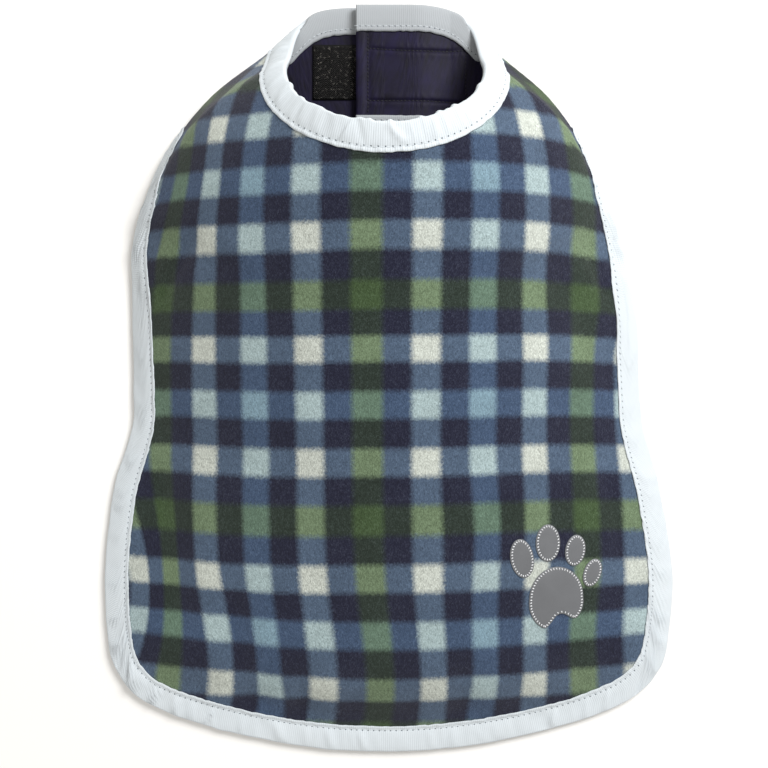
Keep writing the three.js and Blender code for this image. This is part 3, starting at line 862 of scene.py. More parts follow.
# Colours where two stripes of the plaid cross, by the first letters of their colours
CROSSINGS = {
    "NN": (0.0105, 0.0115, 0.029),
    "NW": (0.064, 0.097, 0.151),
    "NB": (0.043, 0.072, 0.131),
    "NG": (0.0175, 0.0275, 0.020),
    "WW": (0.484, 0.515, 0.466),
    "WB": (0.322, 0.410, 0.419),
    "WG": (0.132, 0.186, 0.106),
    "BB": (0.182, 0.279, 0.341),
    "BG": (0.101, 0.162, 0.116),
    "GG": (0.043, 0.074, 0.028),
}


# Stripes that stand on the navy ground, in stripe widths: where they lie, and how soft their edges are
STRIPES = {
    "W": {"middle": 2.0, "repeat": 4.0, "half": 0.48, "softness": 0.22},
    "B": {"middle": 4.0, "repeat": 8.0, "half": 0.48, "softness": 0.22},
    "G": {"middle": 0.0, "repeat": 8.0, "half": 0.52, "softness": 0.24},
}
# A pale blue row's middle lies at v = 0 on the cut
BLUE_ROW_PLACE = STRIPES["B"]["middle"]
SMEAR = 0.22
# How strongly each grain of the nap lightens and darkens the plaid with painted light and shade, and how much
# of the painted highlight colour on the tips shows
NAP = {"fibre": 2.1, "tuft": 1.1, "cloud": 0.35, "shade": 0.85, "darkest": 0.1, "tips": 0.10}
NAP_TIP_HIGHLIGHT = (0.42, 0.50, 0.55)


def crossing(first, second):
    return CROSSINGS.get(first + second) or CROSSINGS[second + first]


def fleece_material():
    shader = Shader("plaid fleece", Roughness=0.95, Sheen_Weight=0.12, Sheen_Roughness=0.6,
                    Specular_IOR_Level=0.1)
    u, v = shader.cloth()
    stripe = STRIPE * MM
    # The nap smears the printed edges by a millimetre or so
    smear = shader.noise(shader.cloth_vector(), 620, 2.0)
    smear_across = shader.noise(shader.cloth_vector(1.0, 1.03), 590, 2.0)
    along = (u - GREEN_COLUMN_X * MM) / stripe + (smear - 0.5) * SMEAR
    down = (v / stripe - BLUE_ROW_PLACE) + (smear_across - 0.5) * SMEAR
    masks = []
    for place in (along, down):
        masks.append({name: stripe_mask(place, **stripes) for name, stripes in STRIPES.items()})
    rows = {}
    for column in "NWBG":
        colour = crossing(column, "N")
        for row in "WBG":
            colour = shader.mix(masks[1][row], colour, crossing(column, row))
        rows[column] = colour
    colour = rows["N"]
    for column in "WBG":
        colour = shader.mix(masks[0][column], colour, rows[column])
    # Tufts of nap get painted light on their tips and painted shade between
    fibre = shader.noise(shader.cloth_vector(1700, 760), 1.0, detail=3.0, roughness=0.66, distortion=0.6)
    tuft = shader.noise(shader.cloth_vector(560, 300), 1.0, detail=3.0, roughness=0.6, distortion=0.8)
    cloud = shader.noise(shader.object_vector(), 42, 2.0)
    light = (fibre - 0.5) * NAP["fibre"] + (tuft - 0.5) * NAP["tuft"] + (cloud - 0.5) * NAP["cloud"]
    nap_shaded = shader.mix(1.0, colour, (light * NAP["shade"] + 1.0).at_least(NAP["darkest"]), "MULTIPLY")
    shader.colour(shader.mix((light * NAP["tips"]).clamp(), nap_shaded, NAP_TIP_HIGHLIGHT))
    shader.bump(fibre * 0.5 + tuft * 0.8, strength=0.55, distance=1.0 * MM)
    return shader.material


HOLE_RADIUS = 0.62
HOLE_SOFTNESS = 0.35
HOLE_SHADE = (0.06, 0.08, 0.10)
# Painted shade on the ribbon's half on the lining side, and how much of it shows
LINING_SIDE_PAINTED_SHADE = (0.22, 0.225, 0.235)
LINING_SIDE_SHADE_SHARE = 0.6


def scaled(colour, *factors):
    """A colour with its parts multiplied, all by one factor or each by its own."""
    return tuple(np.array(colour) * (factors if len(factors) > 1 else factors[0]))


def ribbon_material():
    shader = Shader("pale ribbon", Roughness=0.78, Sheen_Weight=0.03, Specular_IOR_Level=0.2)
    u, v = shader.cloth()
    rib = (u / sizes().ribbon_rib).fract()
    rib_height = 1 - ((rib - 0.5).abs() * 2).power(2.0)
    weave = shader.noise(shader.cloth_vector(900, 260), 1.0, 2.0)
    pitch = sizes().stitch_pitch
    inset = sizes().stitch_inset
    hole_u = ((u / pitch).fract() - 0.5) * pitch
    hole_v = v.abs() - ((BINDING_WIDTH + FOLD_TURN) * MM - inset)
    away = (hole_u * hole_u + hole_v * hole_v).power(0.5)
    hole = ((HOLE_RADIUS * MM - away) / (HOLE_SOFTNESS * MM)).clamp()
    base = tuple(colours().binding)
    cloud = shader.noise(shader.object_vector(), 35, 2.0)
    tinted = shader.mix((cloud - 0.35).clamp() * 0.35, base, scaled(base, 0.90, 0.94, 0.97))
    # Painted shade darkens the troughs between the ribs
    rib_trough_shaded = shader.mix((1 - rib_height) * 0.34, tinted, scaled(base, 0.6))
    # The half on the lining side, where v is negative, gets painted shade: a darker grey for the neck band
    # where it faces away from the light
    lining_side = (v * (-2 / MM)).clamp()
    lining_side_shaded = shader.mix(lining_side * LINING_SIDE_SHADE_SHARE, rib_trough_shaded, LINING_SIDE_PAINTED_SHADE)
    shader.colour(shader.mix(hole * 0.9, lining_side_shaded, HOLE_SHADE))
    shader.bump(rib_height * 0.26 + weave * 0.05 - hole * 0.6, strength=0.8, distance=0.5 * MM)
    return shader.material


THREADS_A_METRE = 2600


def nylon_material():
    shader = Shader("navy nylon", Roughness=0.55, Specular_IOR_Level=0.13)
    u, v = shader.cloth()
    vector = shader.object_vector()
    streak = shader.noise(shader.cloth_vector(60, 420), 1.0, 3.0)
    cloud = shader.noise(vector, 70, 3.0)
    base = tuple(colours().nylon)
    # Painted sheen: where streaks and clouds are high, the nylon turns to a brighter, bluer copy of itself
    painted_sheen = scaled(base, 2.4, 2.1, 4.6)
    shader.colour(shader.mix(((streak + cloud) * 0.9 - 0.62).clamp(), base, painted_sheen))
    weave = ((u * THREADS_A_METRE).fract() - 0.5).abs() + ((v * THREADS_A_METRE).fract() - 0.5).abs()
    crease = shader.noise(shader.cloth_vector(90, 500), 1.0, 2.0)
    shader.bump(weave * 0.08 + crease * 0.9, strength=0.5, distance=0.6 * MM)
    return shader.material


def tape_material():
    shader = Shader("black tape", Roughness=0.9, Specular_IOR_Level=0.1)
    vector = shader.object_vector()
    weave = shader.noise(vector, 1400, 2.0)
    base = tuple(colours().tape)
    shader.colour(shader.mix(weave, base, scaled(base, 3.0)))
    shader.bump(weave, strength=0.6, distance=0.5 * MM)
    return shader.material


HOOK_DARK = (0.006, 0.005, 0.005)
HOOK_GLINT = (0.50, 0.47, 0.43)
# Where the noise passes this, a hook glints
GLINT_FROM, GLINT_RISE = 0.56, 7


def hook_material():
    shader = Shader("hook thread", Roughness=0.45, Specular_IOR_Level=0.6)
    vector = shader.object_vector()
    speck = shader.noise(vector, 500, 2.0)
    glint = ((speck - GLINT_FROM) * GLINT_RISE).clamp()
    shader.colour(shader.mix(glint, HOOK_DARK, HOOK_GLINT))
    return shader.material


def film_material():
    shader = Shader("reflective film", Roughness=0.5, Metallic=0.25, Specular_IOR_Level=0.5)
    vector = shader.object_vector()
    grain = shader.noise(vector, 2400, 2.0)
    cloud = shader.noise(vector, 60, 3.0)
    base = tuple(colours().film)
    shader.colour(shader.mix((cloud - 0.3).clamp() * 0.8, scaled(base, 0.86), scaled(base, 1.2)))
    dent = shader.noise(vector, 120, 2.0)
    shader.bump(grain * 0.08 + dent * 0.6, strength=0.4, distance=0.5 * MM)
    return shader.material


def thread_material(name, colour, roughness=0.6, metallic=0.0):
    shader = Shader(name, Roughness=roughness, Metallic=metallic, Specular_IOR_Level=0.4)
    vector = shader.object_vector()
    ply = shader.noise(vector, 1500, 2.0)
    shader.colour(shader.mix(ply, scaled(colour, 0.75), tuple(np.minimum(scaled(colour, 1.15), 1))))
    shader.bump(ply, strength=0.3, distance=0.2 * MM)
    return shader.material


# Geometry Nodes


class Tree:
    """A Geometry Nodes group with named inputs, built in short calls."""

    def __init__(self, name):
        self.group = bpy.data.node_groups.new(name, "GeometryNodeTree")
        self.group.interface.new_socket("Geometry", in_out="INPUT", socket_type="NodeSocketGeometry")
        self.group.interface.new_socket("Geometry", in_out="OUTPUT", socket_type="NodeSocketGeometry")
        self.given = self.group.nodes.new("NodeGroupInput")
        self.result = self.group.nodes.new("NodeGroupOutput")

    def size(self, name, kind="NodeSocketFloat"):
        """Adds a named input, and returns its socket inside the group."""
        self.group.interface.new_socket(name, in_out="INPUT", socket_type=kind)
        return self.given.outputs[name]

    def node(self, kind, settings=None, inputs=None):
        made = self.group.nodes.new(kind)
        for name, setting in (settings or {}).items():
            setattr(made, name, setting)
        for name, given in (inputs or {}).items():
            if isinstance(given, bpy.types.NodeSocket):
                self.group.links.new(given, made.inputs[name])
            else:
                made.inputs[name].default_value = given
        return made

    def finish(self, instances, material):
        real = self.node("GeometryNodeRealizeInstances", {}, {"Geometry": instances})
        smooth = self.node("GeometryNodeSetShadeSmooth", {}, {"Geometry": real.outputs[0]})
        painted = self.node("GeometryNodeSetMaterial", {}, {
            "Geometry": smooth.outputs[0], "Material": material})
        self.group.links.new(painted.outputs[0], self.result.inputs[0])
        return self.group


def grow(name, carrier, group, values):
    """Runs a node group on a carrier mesh and keeps its result as a plain mesh."""
    modifier = carrier.modifiers.new("grow", "NODES")
    modifier.node_group = group
    for item in group.interface.items_tree:
        if item.in_out == "INPUT" and item.name in values:
            modifier[item.identifier] = values[item.name]
    bpy.context.view_layer.update()
    evaluated = carrier.evaluated_get(bpy.context.evaluated_depsgraph_get())
    mesh = bpy.data.meshes.new_from_object(evaluated)
    mesh.name = name
    piece = linked(name, mesh)
    bpy.data.objects.remove(carrier)
    return piece


def path_carrier(name, lines):
    """A mesh of bare edges along lines of points in the spine's millimetres."""
    points = (np.concatenate(lines) + frame_shift()) * MM
    edges = []
    start = 0
    for line in lines:
        edges += [(start + k, start + k + 1) for k in range(len(line) - 1)]
        start += len(line)
    mesh = bpy.data.meshes.new(name)
    mesh.from_pydata(points.tolist(), edges, [])
    return linked(name, mesh)


def point_carrier(name, points, ups, turns):
    """A mesh of single points, each with the direction that is up there and a turn about it."""
    mesh = bpy.data.meshes.new(name)
    mesh.from_pydata(((points + frame_shift()) * MM).tolist(), [], [])
    layer = mesh.attributes.new("up", "FLOAT_VECTOR", "POINT")
    layer.data.foreach_set("vector", np.asarray(ups, np.float32).ravel())
    layer = mesh.attributes.new("turn", "FLOAT", "POINT")
    layer.data.foreach_set("value", np.asarray(turns, np.float32))
    return linked(name, mesh)


def stitch_group(material):
    """Threads of one length laid end to end along a line."""
    tree = Tree("stitches " + material.name)
    pitch = tree.size("Pitch")
    shape = tree.size("Thread", "NodeSocketVector")
    line = tree.node("GeometryNodeMeshToCurve", {}, {"Mesh": tree.given.outputs["Geometry"]})
    even = tree.node("GeometryNodeResampleCurve", {"mode": "LENGTH"},
                     {"Curve": line.outputs[0], "Length": pitch})
    thread = tree.node("GeometryNodeMeshUVSphere", {}, {"Segments": 6, "Rings": 5, "Radius": 1.0})
    tangent = tree.node("GeometryNodeInputTangent")
    turn = tree.node("FunctionNodeAlignRotationToVector", {"axis": "X"}, {"Vector": tangent.outputs[0]})
    laid = tree.node("GeometryNodeInstanceOnPoints", {}, {
        "Points": even.outputs[0], "Instance": thread.outputs["Mesh"],
        "Rotation": turn.outputs[0], "Scale": shape})
    return tree.finish(laid.outputs[0], material)


# The hooks' wire: how far it turns, and its radius as a share of the hook's own
HOOK_SWEEP = math.pi * 1.15
HOOK_WIRE = 0.2


def spot_group(name, material, hook):
    """One small form on every point of the carrier, upright on its attribute up and turned by turn."""
    tree = Tree(name)
    shape = tree.size("Shape", "NodeSocketVector")
    if hook:
        arc = tree.node("GeometryNodeCurveArc", {"mode": "RADIUS"}, {
            "Resolution": 6, "Radius": 1.0, "Start Angle": 0.0, "Sweep Angle": HOOK_SWEEP})
        stand = tree.node("GeometryNodeTransform", {}, {
            "Geometry": arc.outputs["Curve"], "Rotation": (math.pi / 2, 0.0, 0.0)})
        profile = tree.node("GeometryNodeCurvePrimitiveCircle", {}, {"Resolution": 4, "Radius": HOOK_WIRE})
        form = tree.node("GeometryNodeCurveToMesh", {}, {
            "Curve": stand.outputs[0], "Profile Curve": profile.outputs["Curve"], "Fill Caps": True})
    else:
        form = tree.node("GeometryNodeMeshUVSphere", {}, {"Segments": 6, "Rings": 5, "Radius": 1.0})
    up = tree.node("GeometryNodeInputNamedAttribute", {"data_type": "FLOAT_VECTOR"}, {"Name": "up"})
    turn = tree.node("GeometryNodeInputNamedAttribute", {"data_type": "FLOAT"}, {"Name": "turn"})
    upright = tree.node("FunctionNodeAlignRotationToVector", {"axis": "Z"}, {"Vector": up.outputs[0]})
    about = tree.node("FunctionNodeAxisAngleToRotation", {}, {
        "Axis": (0.0, 0.0, 1.0), "Angle": turn.outputs[0]})
    both = tree.node("FunctionNodeRotateRotation", {"rotation_space": "LOCAL"},
                     {"Rotation": upright.outputs[0], "Rotate By": about.outputs[0]})
    laid = tree.node("GeometryNodeInstanceOnPoints", {}, {
        "Points": tree.given.outputs["Geometry"], "Instance": form.outputs[0],
        "Rotation": both.outputs[0], "Scale": shape})
    return tree.finish(laid.outputs[0], material)


# Pieces


class COAT_OT_fleece(bpy.types.Operator):
    """Back panel and chest tabs of plaid fleece."""
    bl_idname = "coat.fleece"
    bl_label = "Plaid fleece"

    def execute(self, context):
        columns = even_columns(6)
        grid, lengths = cloth_grid(columns, stretches(3, 5))
        normals = grid_normals(grid)
        plaid = plaid_places(flat_points(columns, lengths))
        points, faces, uv = wall(grid, grid - normals * FLEECE, plaid)
        piece = mesh_object("fleece", points, faces, fleece_material(), uv)
        dress(piece, "fleece_shell")
        declare_cloth()
        return {"FINISHED"}


@functools.lru_cache(maxsize=None)
def cut_size():
    """The flat cut's width and length in metres, and its area in square metres."""
    flat = flat_cut() * MM
    extent = flat.reshape(-1, 2).max(axis=0) - flat.reshape(-1, 2).min(axis=0)
    a, b, c, d = flat[:-1, :-1], flat[1:, :-1], flat[1:, 1:], flat[:-1, 1:]
    first, second = c - a, d - b
    area = np.abs(first[..., 0] * second[..., 1] - first[..., 1] * second[..., 0]).sum() / 2
    return (float(extent[0]), float(extent[1])), float(area)


def declare_cloth():
    flat, area = cut_size()


# How the lining is sewn down on the upper tab: half width and depth of the grooves and of what swells
STITCH_GROOVE = (1.1, 0.75)
SIDE_GROOVE = (1.2, 0.6)
SEAM_GROOVE = (1.2, 0.75)
PULL_SWELL = (2.2, 0.32)
FOLDED_SWELL = (3.0, 0.35)
TOP_SAG = 1.6
RELIEF_LEAST, RELIEF_MOST = -0.4, 0.8
# How soon a groove fades past its ends, and how far from their seams the pulls and the folded edge swell
GROOVE_FADE = 2
PULLS_OFF_SEAM = 3.0
FOLD_OFF_SEAM = 4.5
# Columns where the upper tab, and the finer part of the lining's grid, begin, and the grid's columns a
# cell on the lower tab's side, in the middle and on the upper tab's side
TAB_COLUMN = 24
FINE_COLUMN = 20
LINING_PER_CELL = (8, 2, 12)


def groove(distance, half, deep):
    return deep * np.exp(-(distance / half) ** 2)


def top_sag(x):
    """How far the stitched rectangle's upper line sags."""
    low_x, high_x = STITCHED_BOX[:2]
    return TOP_SAG * np.sin(np.clip((x - low_x) / (high_x - low_x), 0, 1) * math.pi)


def fading(at, low, high):
    """1 between two ends, and 0 soon past them."""
    return smoothstep(at, low - GROOVE_FADE, low) * (1 - smoothstep(at, high, high + GROOVE_FADE))


def lining_relief(grid):
    """How far the lining is sewn down on the chest tabs: seams, the stitched rectangle, pulls."""
    x, y = grid[..., 0], grid[..., 1]
    low_x, high_x, low_y, high_y = STITCHED_BOX
    relief = np.zeros(x.shape)
    within = fading(x, low_x, high_x)
    for line in (low_y, high_y - top_sag(x)):
        away = y - line
        relief += within * groove(away, *STITCH_GROOVE)
        # Pulls come at an uneven spacing along the seam
        pull = 0.5 + 0.5 * np.sin(x * 1.45 + 2.1 * np.sin(x * 0.31))
        relief -= within * pull * groove(np.abs(away) - PULLS_OFF_SEAM, *PULL_SWELL)
    relief += fading(y, low_y, high_y) * groove(x - high_x, *SIDE_GROOVE)
    relief += groove(x - TAB_SEAM_X, *SEAM_GROOVE)
    relief -= groove(x - (TAB_SEAM_X - FOLD_OFF_SEAM), *FOLDED_SWELL)
    return np.clip(relief, RELIEF_LEAST, RELIEF_MOST)


class COAT_OT_lining(bpy.types.Operator):
    """Navy nylon lining under the fleece."""
    bl_idname = "coat.lining"
    bl_label = "Nylon lining"

    def execute(self, context):
        ends = (-RIB_COUNT, -FINE_COLUMN, FINE_COLUMN, RIB_COUNT)
        parts = [np.arange(start * count, end * count) / count
                 for start, end, count in zip(ends, ends[1:], LINING_PER_CELL)]
        columns = np.concatenate(parts + [[RIB_COUNT]])
        grid, lengths = cloth_grid(columns, stretches(6, 6))
        normals = grid_normals(grid)
        upper_tab = (columns > TAB_COLUMN)[:, None]
        relief = np.where(upper_tab, lining_relief(grid), 0)
        face = grid - normals * (CLOTH_DEPTH - relief)[..., None]
        points, faces, uv = wall(grid - normals * LINING_TOP, face, flat_points(columns, lengths))
        piece = mesh_object("lining", points, faces, nylon_material(), uv)
        dress(piece, "nylon_lining")
        declare_cloth()
        return {"FINISHED"}


# Cross-section of a folded ribbon: reach in from the fold, and height over the fleece face. The skin
# goes from the stitched edge on the fleece side, round the fold, to the edge on the lining side.
RIBBON_FLEECE_SIDE = table(
    ("reach", "height"),
    (17.6, 0.25),
    (17.9, 0.55),
    (17.5, 0.85),
    (16.6, 0.95),
    (15.4, 0.75),
    (14.7, 0.62),
    (14.0, 0.80),
    (12.2, 1.15),
    (9.0, 1.30),
    (6.5, 1.30),
    (4.0, 1.22),
    (2.0, 1.10),
    (0.6, 0.90),
)
RIBBON_LINING_SIDE = table(
    ("reach", "height"),
    (0.8, -3.95),
    (3.0, -4.15),
    (6.0, -4.2),
    (9.0, -4.2),
    (12.0, -4.15),
    (13.8, -3.85),
    (16.0, -4.1),
    (17.8, -3.8),
)
FOLD_MIDDLE = (BINDING_RISE - BINDING_DEPTH) / 2
FOLD_HALF = 2.3
FOLD_OUT = 1.3
FOLD_FROM_ANGLE = 0.15
FOLD_POINTS = 7
RIBBON_WALL = 0.55
# How much longer the ribbon's skin is than its reach, for the turn round the fold
FOLD_TURN = 2.5

# Ridges that pucker the ribbons. Sizes are shares of the pucker's height, or millimetres for the ones
# that shift the ribbon's fold or its sewn edge in its own plane.
RIDGES = {
    "broad": {"pitch": 17, "size": 1.25, "width": 2.9, "lean": 0.32},
    "small": {"pitch": 5.2, "size": 0.38, "width": 1.3, "lean": 0.14},
    "gathers": {"pitch": 4.2, "size": 0.5, "width": 1.2},
    "uneven": {"pitch": 8, "size": 0.7, "width": 3.0},
    "neck_scallop": {"pitch": 9, "size": 2.2, "width": 3.0},
    "edge_scallop": {"pitch": 31, "size": 0.8, "width": 7.0},
}
RIBBON_LOOKS = {
    "neck_ribbon": {
        "seed": 11, "scallop": "neck_scallop", "scallop_seed": 41, "scallop_share": 0.9,
        "scallop_reach": 7.0, "corner_pucker": 0, "turn_puff": 1.3},
    "edge_ribbon": {
        "seed": 5, "scallop": "edge_scallop", "scallop_seed": 43, "scallop_share": 1.0,
        "scallop_reach": 6.0, "corner_pucker": 1.7, "turn_puff": 0.2},
}
# The cloth's own edge lies just inside the fold, so a scallop never goes further in than this
SCALLOP_LEAST = -0.4
STITCH_RISE = 0.05
# A stitch's half length as a share of the pitch
THREAD_HALF_LENGTH = 0.40
LIFT_LEAST, LIFT_MOST = -0.6, 2.2
# Puckers lift the fleece side's skin, gathers its edge where it is sewn
PUCKER_REACH = 14
PUCKER_SHAPE = 0.7
GATHERS_AT, GATHERS_HALF = 16.4, 1.8
LIFTED_ABOVE = -1.5
UNEVEN_HALF = 3.0
# Chance of each ridge, as ranges of shares: spacing, size, width and sign
RIDGE_SPACING = (0.45, 1.55)
RIDGE_SIZE = (0.25, 1.0)
RIDGE_WIDTH = (0.5, 1.4)
RIDGE_SIGNS = (1, 1, -0.7)
# A ridge is left out past so many of its widths, with a margin for its lean and for slanted ribs
RIDGE_FADE, LEAN_MARGIN, SLANT_MARGIN = 4, 12, 45
# Columns of the grid at the hem's corners, at the shoulders and where the neck turns to the tabs
CORNER_COLUMN, CORNER_HALF = 8.5, 2.6
NAPE_COLUMNS = (15, 19)
TURN_COLUMN, TURN_HALF = 24.5, 2.2
RIBBON_PER_CELL = 16
RIBBON_STRETCH = 6
RIBBON_MIDDLE = 9.0
FLOOR_CLEARANCE = 0.02


def ribbon_skin():
    angles = np.linspace(FOLD_FROM_ANGLE, math.pi - FOLD_FROM_ANGLE, FOLD_POINTS)
    fold = np.stack([-FOLD_OUT * np.sin(angles), FOLD_MIDDLE + FOLD_HALF * np.cos(angles)], axis=1)
    sides = (RIBBON_FLEECE_SIDE, RIBBON_LINING_SIDE)
    above, below = (np.stack(list(side.values()), axis=1) for side in sides)
    return np.concatenate([above, fold, below])


def ribbon_section():
    """The ring of the ribbon's section, its points' places along the width, and the skin's count."""
    skin = ribbon_skin()
    tangent = np.gradient(skin, axis=0)
    normal = unit(np.stack([tangent[:, 1], -tangent[:, 0]], axis=1))
    middle = np.array([RIBBON_MIDDLE, FOLD_MIDDLE])
    inward = np.where(((middle - skin) * normal).sum(axis=1)[:, None] > 0, normal, -normal)
    inner = skin + inward * RIBBON_WALL
    inner[0] = skin[0] + (0.1, -0.1)
    ring = np.concatenate([skin, inner[::-1]])
    width = np.concatenate([[0], np.cumsum(np.linalg.norm(np.diff(skin, axis=0), axis=1))])
    return ring, np.concatenate([width, width[::-1]]), len(skin)


def waves(kind, length, seed, scale=1.0):
    """Ridges of one kind at uneven places along a length: their places, sizes, half widths and leans."""
    ridge = RIDGES[kind]
    size = ridge["size"] * scale
    draw = np.random.default_rng(seed)
    places = np.cumsum(draw.uniform(*RIDGE_SPACING, int(length / ridge["pitch"]) + 2) * ridge["pitch"])
    places = places[places < length]
    count = len(places)
    return np.stack([
        places,
        draw.uniform(*RIDGE_SIZE, count) * size * draw.choice(RIDGE_SIGNS, count),
        draw.uniform(*RIDGE_WIDTH, count) * ridge["width"],
        draw.normal(0, 1, count) * ridge.get("lean", 0.0),
    ], axis=1)


def ridge_height(along, reach, ridges):
    height = np.zeros(np.broadcast_shapes(along.shape, reach.shape))
    for place, size, width, lean in ridges:
        reached = RIDGE_FADE * width + LEAN_MARGIN * abs(lean) + SLANT_MARGIN
        near = np.abs(along[:, 0] - place) < reached
        away = (along[near] - place - lean * (reach[0] - RIBBON_MIDDLE)) / width
        height[near] += size * np.exp(-away * away)
    return height


def near_column(columns, middle, half):
    """1 at a column of the grid, on both sides of the coat, and less away from it."""
    return np.exp(-((np.abs(columns) - middle) / half) ** 2)


def pucker_lift(looks, columns, along, reach, height, total):
    """How far the puckers lift a ribbon's skin off the cloth."""
    tall = sizes().pucker / MM
    broad, small, gathers = (ridge_height(along, reach, waves(kind, total, looks["seed"] + k, tall))
                             for k, kind in enumerate(("broad", "small", "gathers")))
    body = np.sin(np.clip(reach, 0, PUCKER_REACH) / PUCKER_REACH * math.pi)
    body = np.clip(body, 0, 1) ** PUCKER_SHAPE
    corner = near_column(columns, CORNER_COLUMN, CORNER_HALF)[:, None]
    broad = broad * (1 + looks["corner_pucker"] * corner)
    seam = np.exp(-((reach - GATHERS_AT) / GATHERS_HALF) ** 2)
    lift = np.where(height > LIFTED_ABOVE, (broad + small) * body + gathers * seam, 0)
    return np.clip(lift, LIFT_LEAST, LIFT_MOST)


def edge_slide(looks, columns, along, reach, total):
    """How far scallops shift a ribbon's fold, and uneven sewing its edge, in the ribbon's plane."""
    level = np.full_like(reach, RIBBON_MIDDLE)
    scallop = ridge_height(along, level, waves(looks["scallop"], total, looks["scallop_seed"]))
    share = looks["scallop_share"]
    if looks["scallop"] == "neck_scallop":
        share = share * (1 - smoothstep(np.abs(columns), *NAPE_COLUMNS))[:, None]
    slide = -np.maximum(scallop, SCALLOP_LEAST) * share * np.exp(-(reach / looks["scallop_reach"]) ** 2)
    uneven = np.abs(ridge_height(along, level, waves("uneven", total, looks["seed"] + 3)))
    return slide - uneven * np.exp(-((reach - BINDING_WIDTH) / UNEVEN_HALF) ** 2)


def ring_faces(count, size, skin_count, outwards):
    """Faces of a closed ribbon from count rings of size points, with a cap at each end."""
    a = (np.arange(count - 1)[:, None] * size + np.arange(size)[None]).ravel()
    b = (np.arange(count - 1)[:, None] * size + (np.arange(size) + 1)[None] % size).ravel()
    quads = np.stack([a, b, b + size, a + size], axis=1)
    caps = []
    for start in (0, (count - 1) * size):
        for k in range(skin_count - 1):
            cap = [start + k, start + k + 1, start + size - 2 - k, start + size - 1 - k]
            caps.append(cap if (start == 0) == outwards else cap[::-1])
    return np.concatenate([quads[:, ::-1] if outwards else quads, np.array(caps)])


def ribbon(name, at_neck, node):
    """The folded ribbon over one long edge, puckered where it goes round, and its two rows of stitches."""
    looks = RIBBON_LOOKS[name]
    columns = even_columns(RIBBON_PER_CELL)
    grid, _ = cloth_grid(columns, (RIBBON_STRETCH,) * 2 + (1,) * INNER_CELLS + (RIBBON_STRETCH,) * 2)
    normals = grid_normals(grid)
    if not at_neck:
        grid, normals = grid[:, ::-1], normals[:, ::-1]
    rows = 2 * RIBBON_STRETCH
    ground = grid[:, :rows + 1]
    lifts = normals[:, :rows + 1]
    fold = ground[:, 0]
    outward = unit(fold - ground[:, 1])
    ring, width, skin_count = ribbon_section()
    reach, height = ring[None, :, 0], ring[None, :, 1]
    along = np.concatenate([[0], np.cumsum(np.linalg.norm(np.diff(fold, axis=0), axis=1))])[:, None]
    total = float(along[-1, 0])
    # Ribs of the grid meet the edge at a slant, but the ribbon's weave and puckers meet it squarely
    slant = (unit(np.gradient(fold, axis=0)) * (ground[:, -1] - fold)).sum(axis=1) / BINDING_WIDTH
    along = along + slant[:, None] * reach
    lift = pucker_lift(looks, columns, along, reach, height, total)
    reach = reach + edge_slide(looks, columns, along, reach, total)
    row = np.clip(reach / BINDING_WIDTH, 0, 1) * rows
    row = np.broadcast_to(row, (len(columns), len(ring)))
    low = np.minimum(row.astype(int), rows - 1)
    part = (row - low)[..., None]
    at = np.arange(len(columns))[:, None]
    base = lerp(ground[at, low], ground[at, low + 1], part)
    up = unit(lerp(lifts[at, low], lifts[at, low + 1], part))
    points = base + up * (height + lift)[..., None]
    # The fold stands out further where the neck turns under to the tabs
    puffed = 1 + looks["turn_puff"] * near_column(columns, TURN_COLUMN, TURN_HALF)
    points += outward[:, None] * (np.maximum(-reach, 0) * puffed[:, None])[..., None]
    points[..., 2] = np.maximum(points[..., 2], FLOOR_CLEARANCE)
    count, size = points.shape[:2]
    uv = np.empty((count, size, 2))
    uv[..., 0] = along
    uv[..., 1] = (width[int(np.argmin(ring[:skin_count, 0]))] - width)[None]
    faces = ring_faces(count, size, skin_count, at_neck)
    material = bpy.data.materials.get("pale ribbon") or ribbon_material()
    piece = mesh_object(name, points.reshape(-1, 3), faces, material, uv.reshape(-1, 2))
    dress(piece, node)
    from_row = np.abs(ring[:skin_count, 0] - (BINDING_WIDTH - sizes().stitch_inset / MM))
    fleece_side = ring[:skin_count, 1] >= 0
    outer = int(np.argmin(np.where(fleece_side, from_row, np.inf)))
    inner = int(np.argmin(np.where(fleece_side, np.inf, from_row)))
    return [points[:, outer] + up[:, outer] * STITCH_RISE, points[:, inner] - up[:, inner] * STITCH_RISE]


class COAT_OT_bindings(bpy.types.Operator):
    """Pale ribbon folded over the neckline and the outer edge, with its two rows of stitches."""
    bl_idname = "coat.bindings"
    bl_label = "Bindings"

    def execute(self, context):
        lines = ribbon("neck_ribbon", True, "neck_binding") + ribbon("edge_ribbon", False, "edge_binding")
        thread = thread_material("binding thread", tuple(colours().binding))
        carrier = path_carrier("binding_stitch_lines", lines)
        pitch = sizes().stitch_pitch
        radius = sizes().thread_radius
        piece = grow("binding_stitches", carrier, stitch_group(thread), {
            "Pitch": pitch, "Thread": (pitch * THREAD_HALF_LENGTH, radius, radius)})
        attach(piece, BODY)
        return {"FINISHED"}


SEAT_TOLERANCE = 0.01


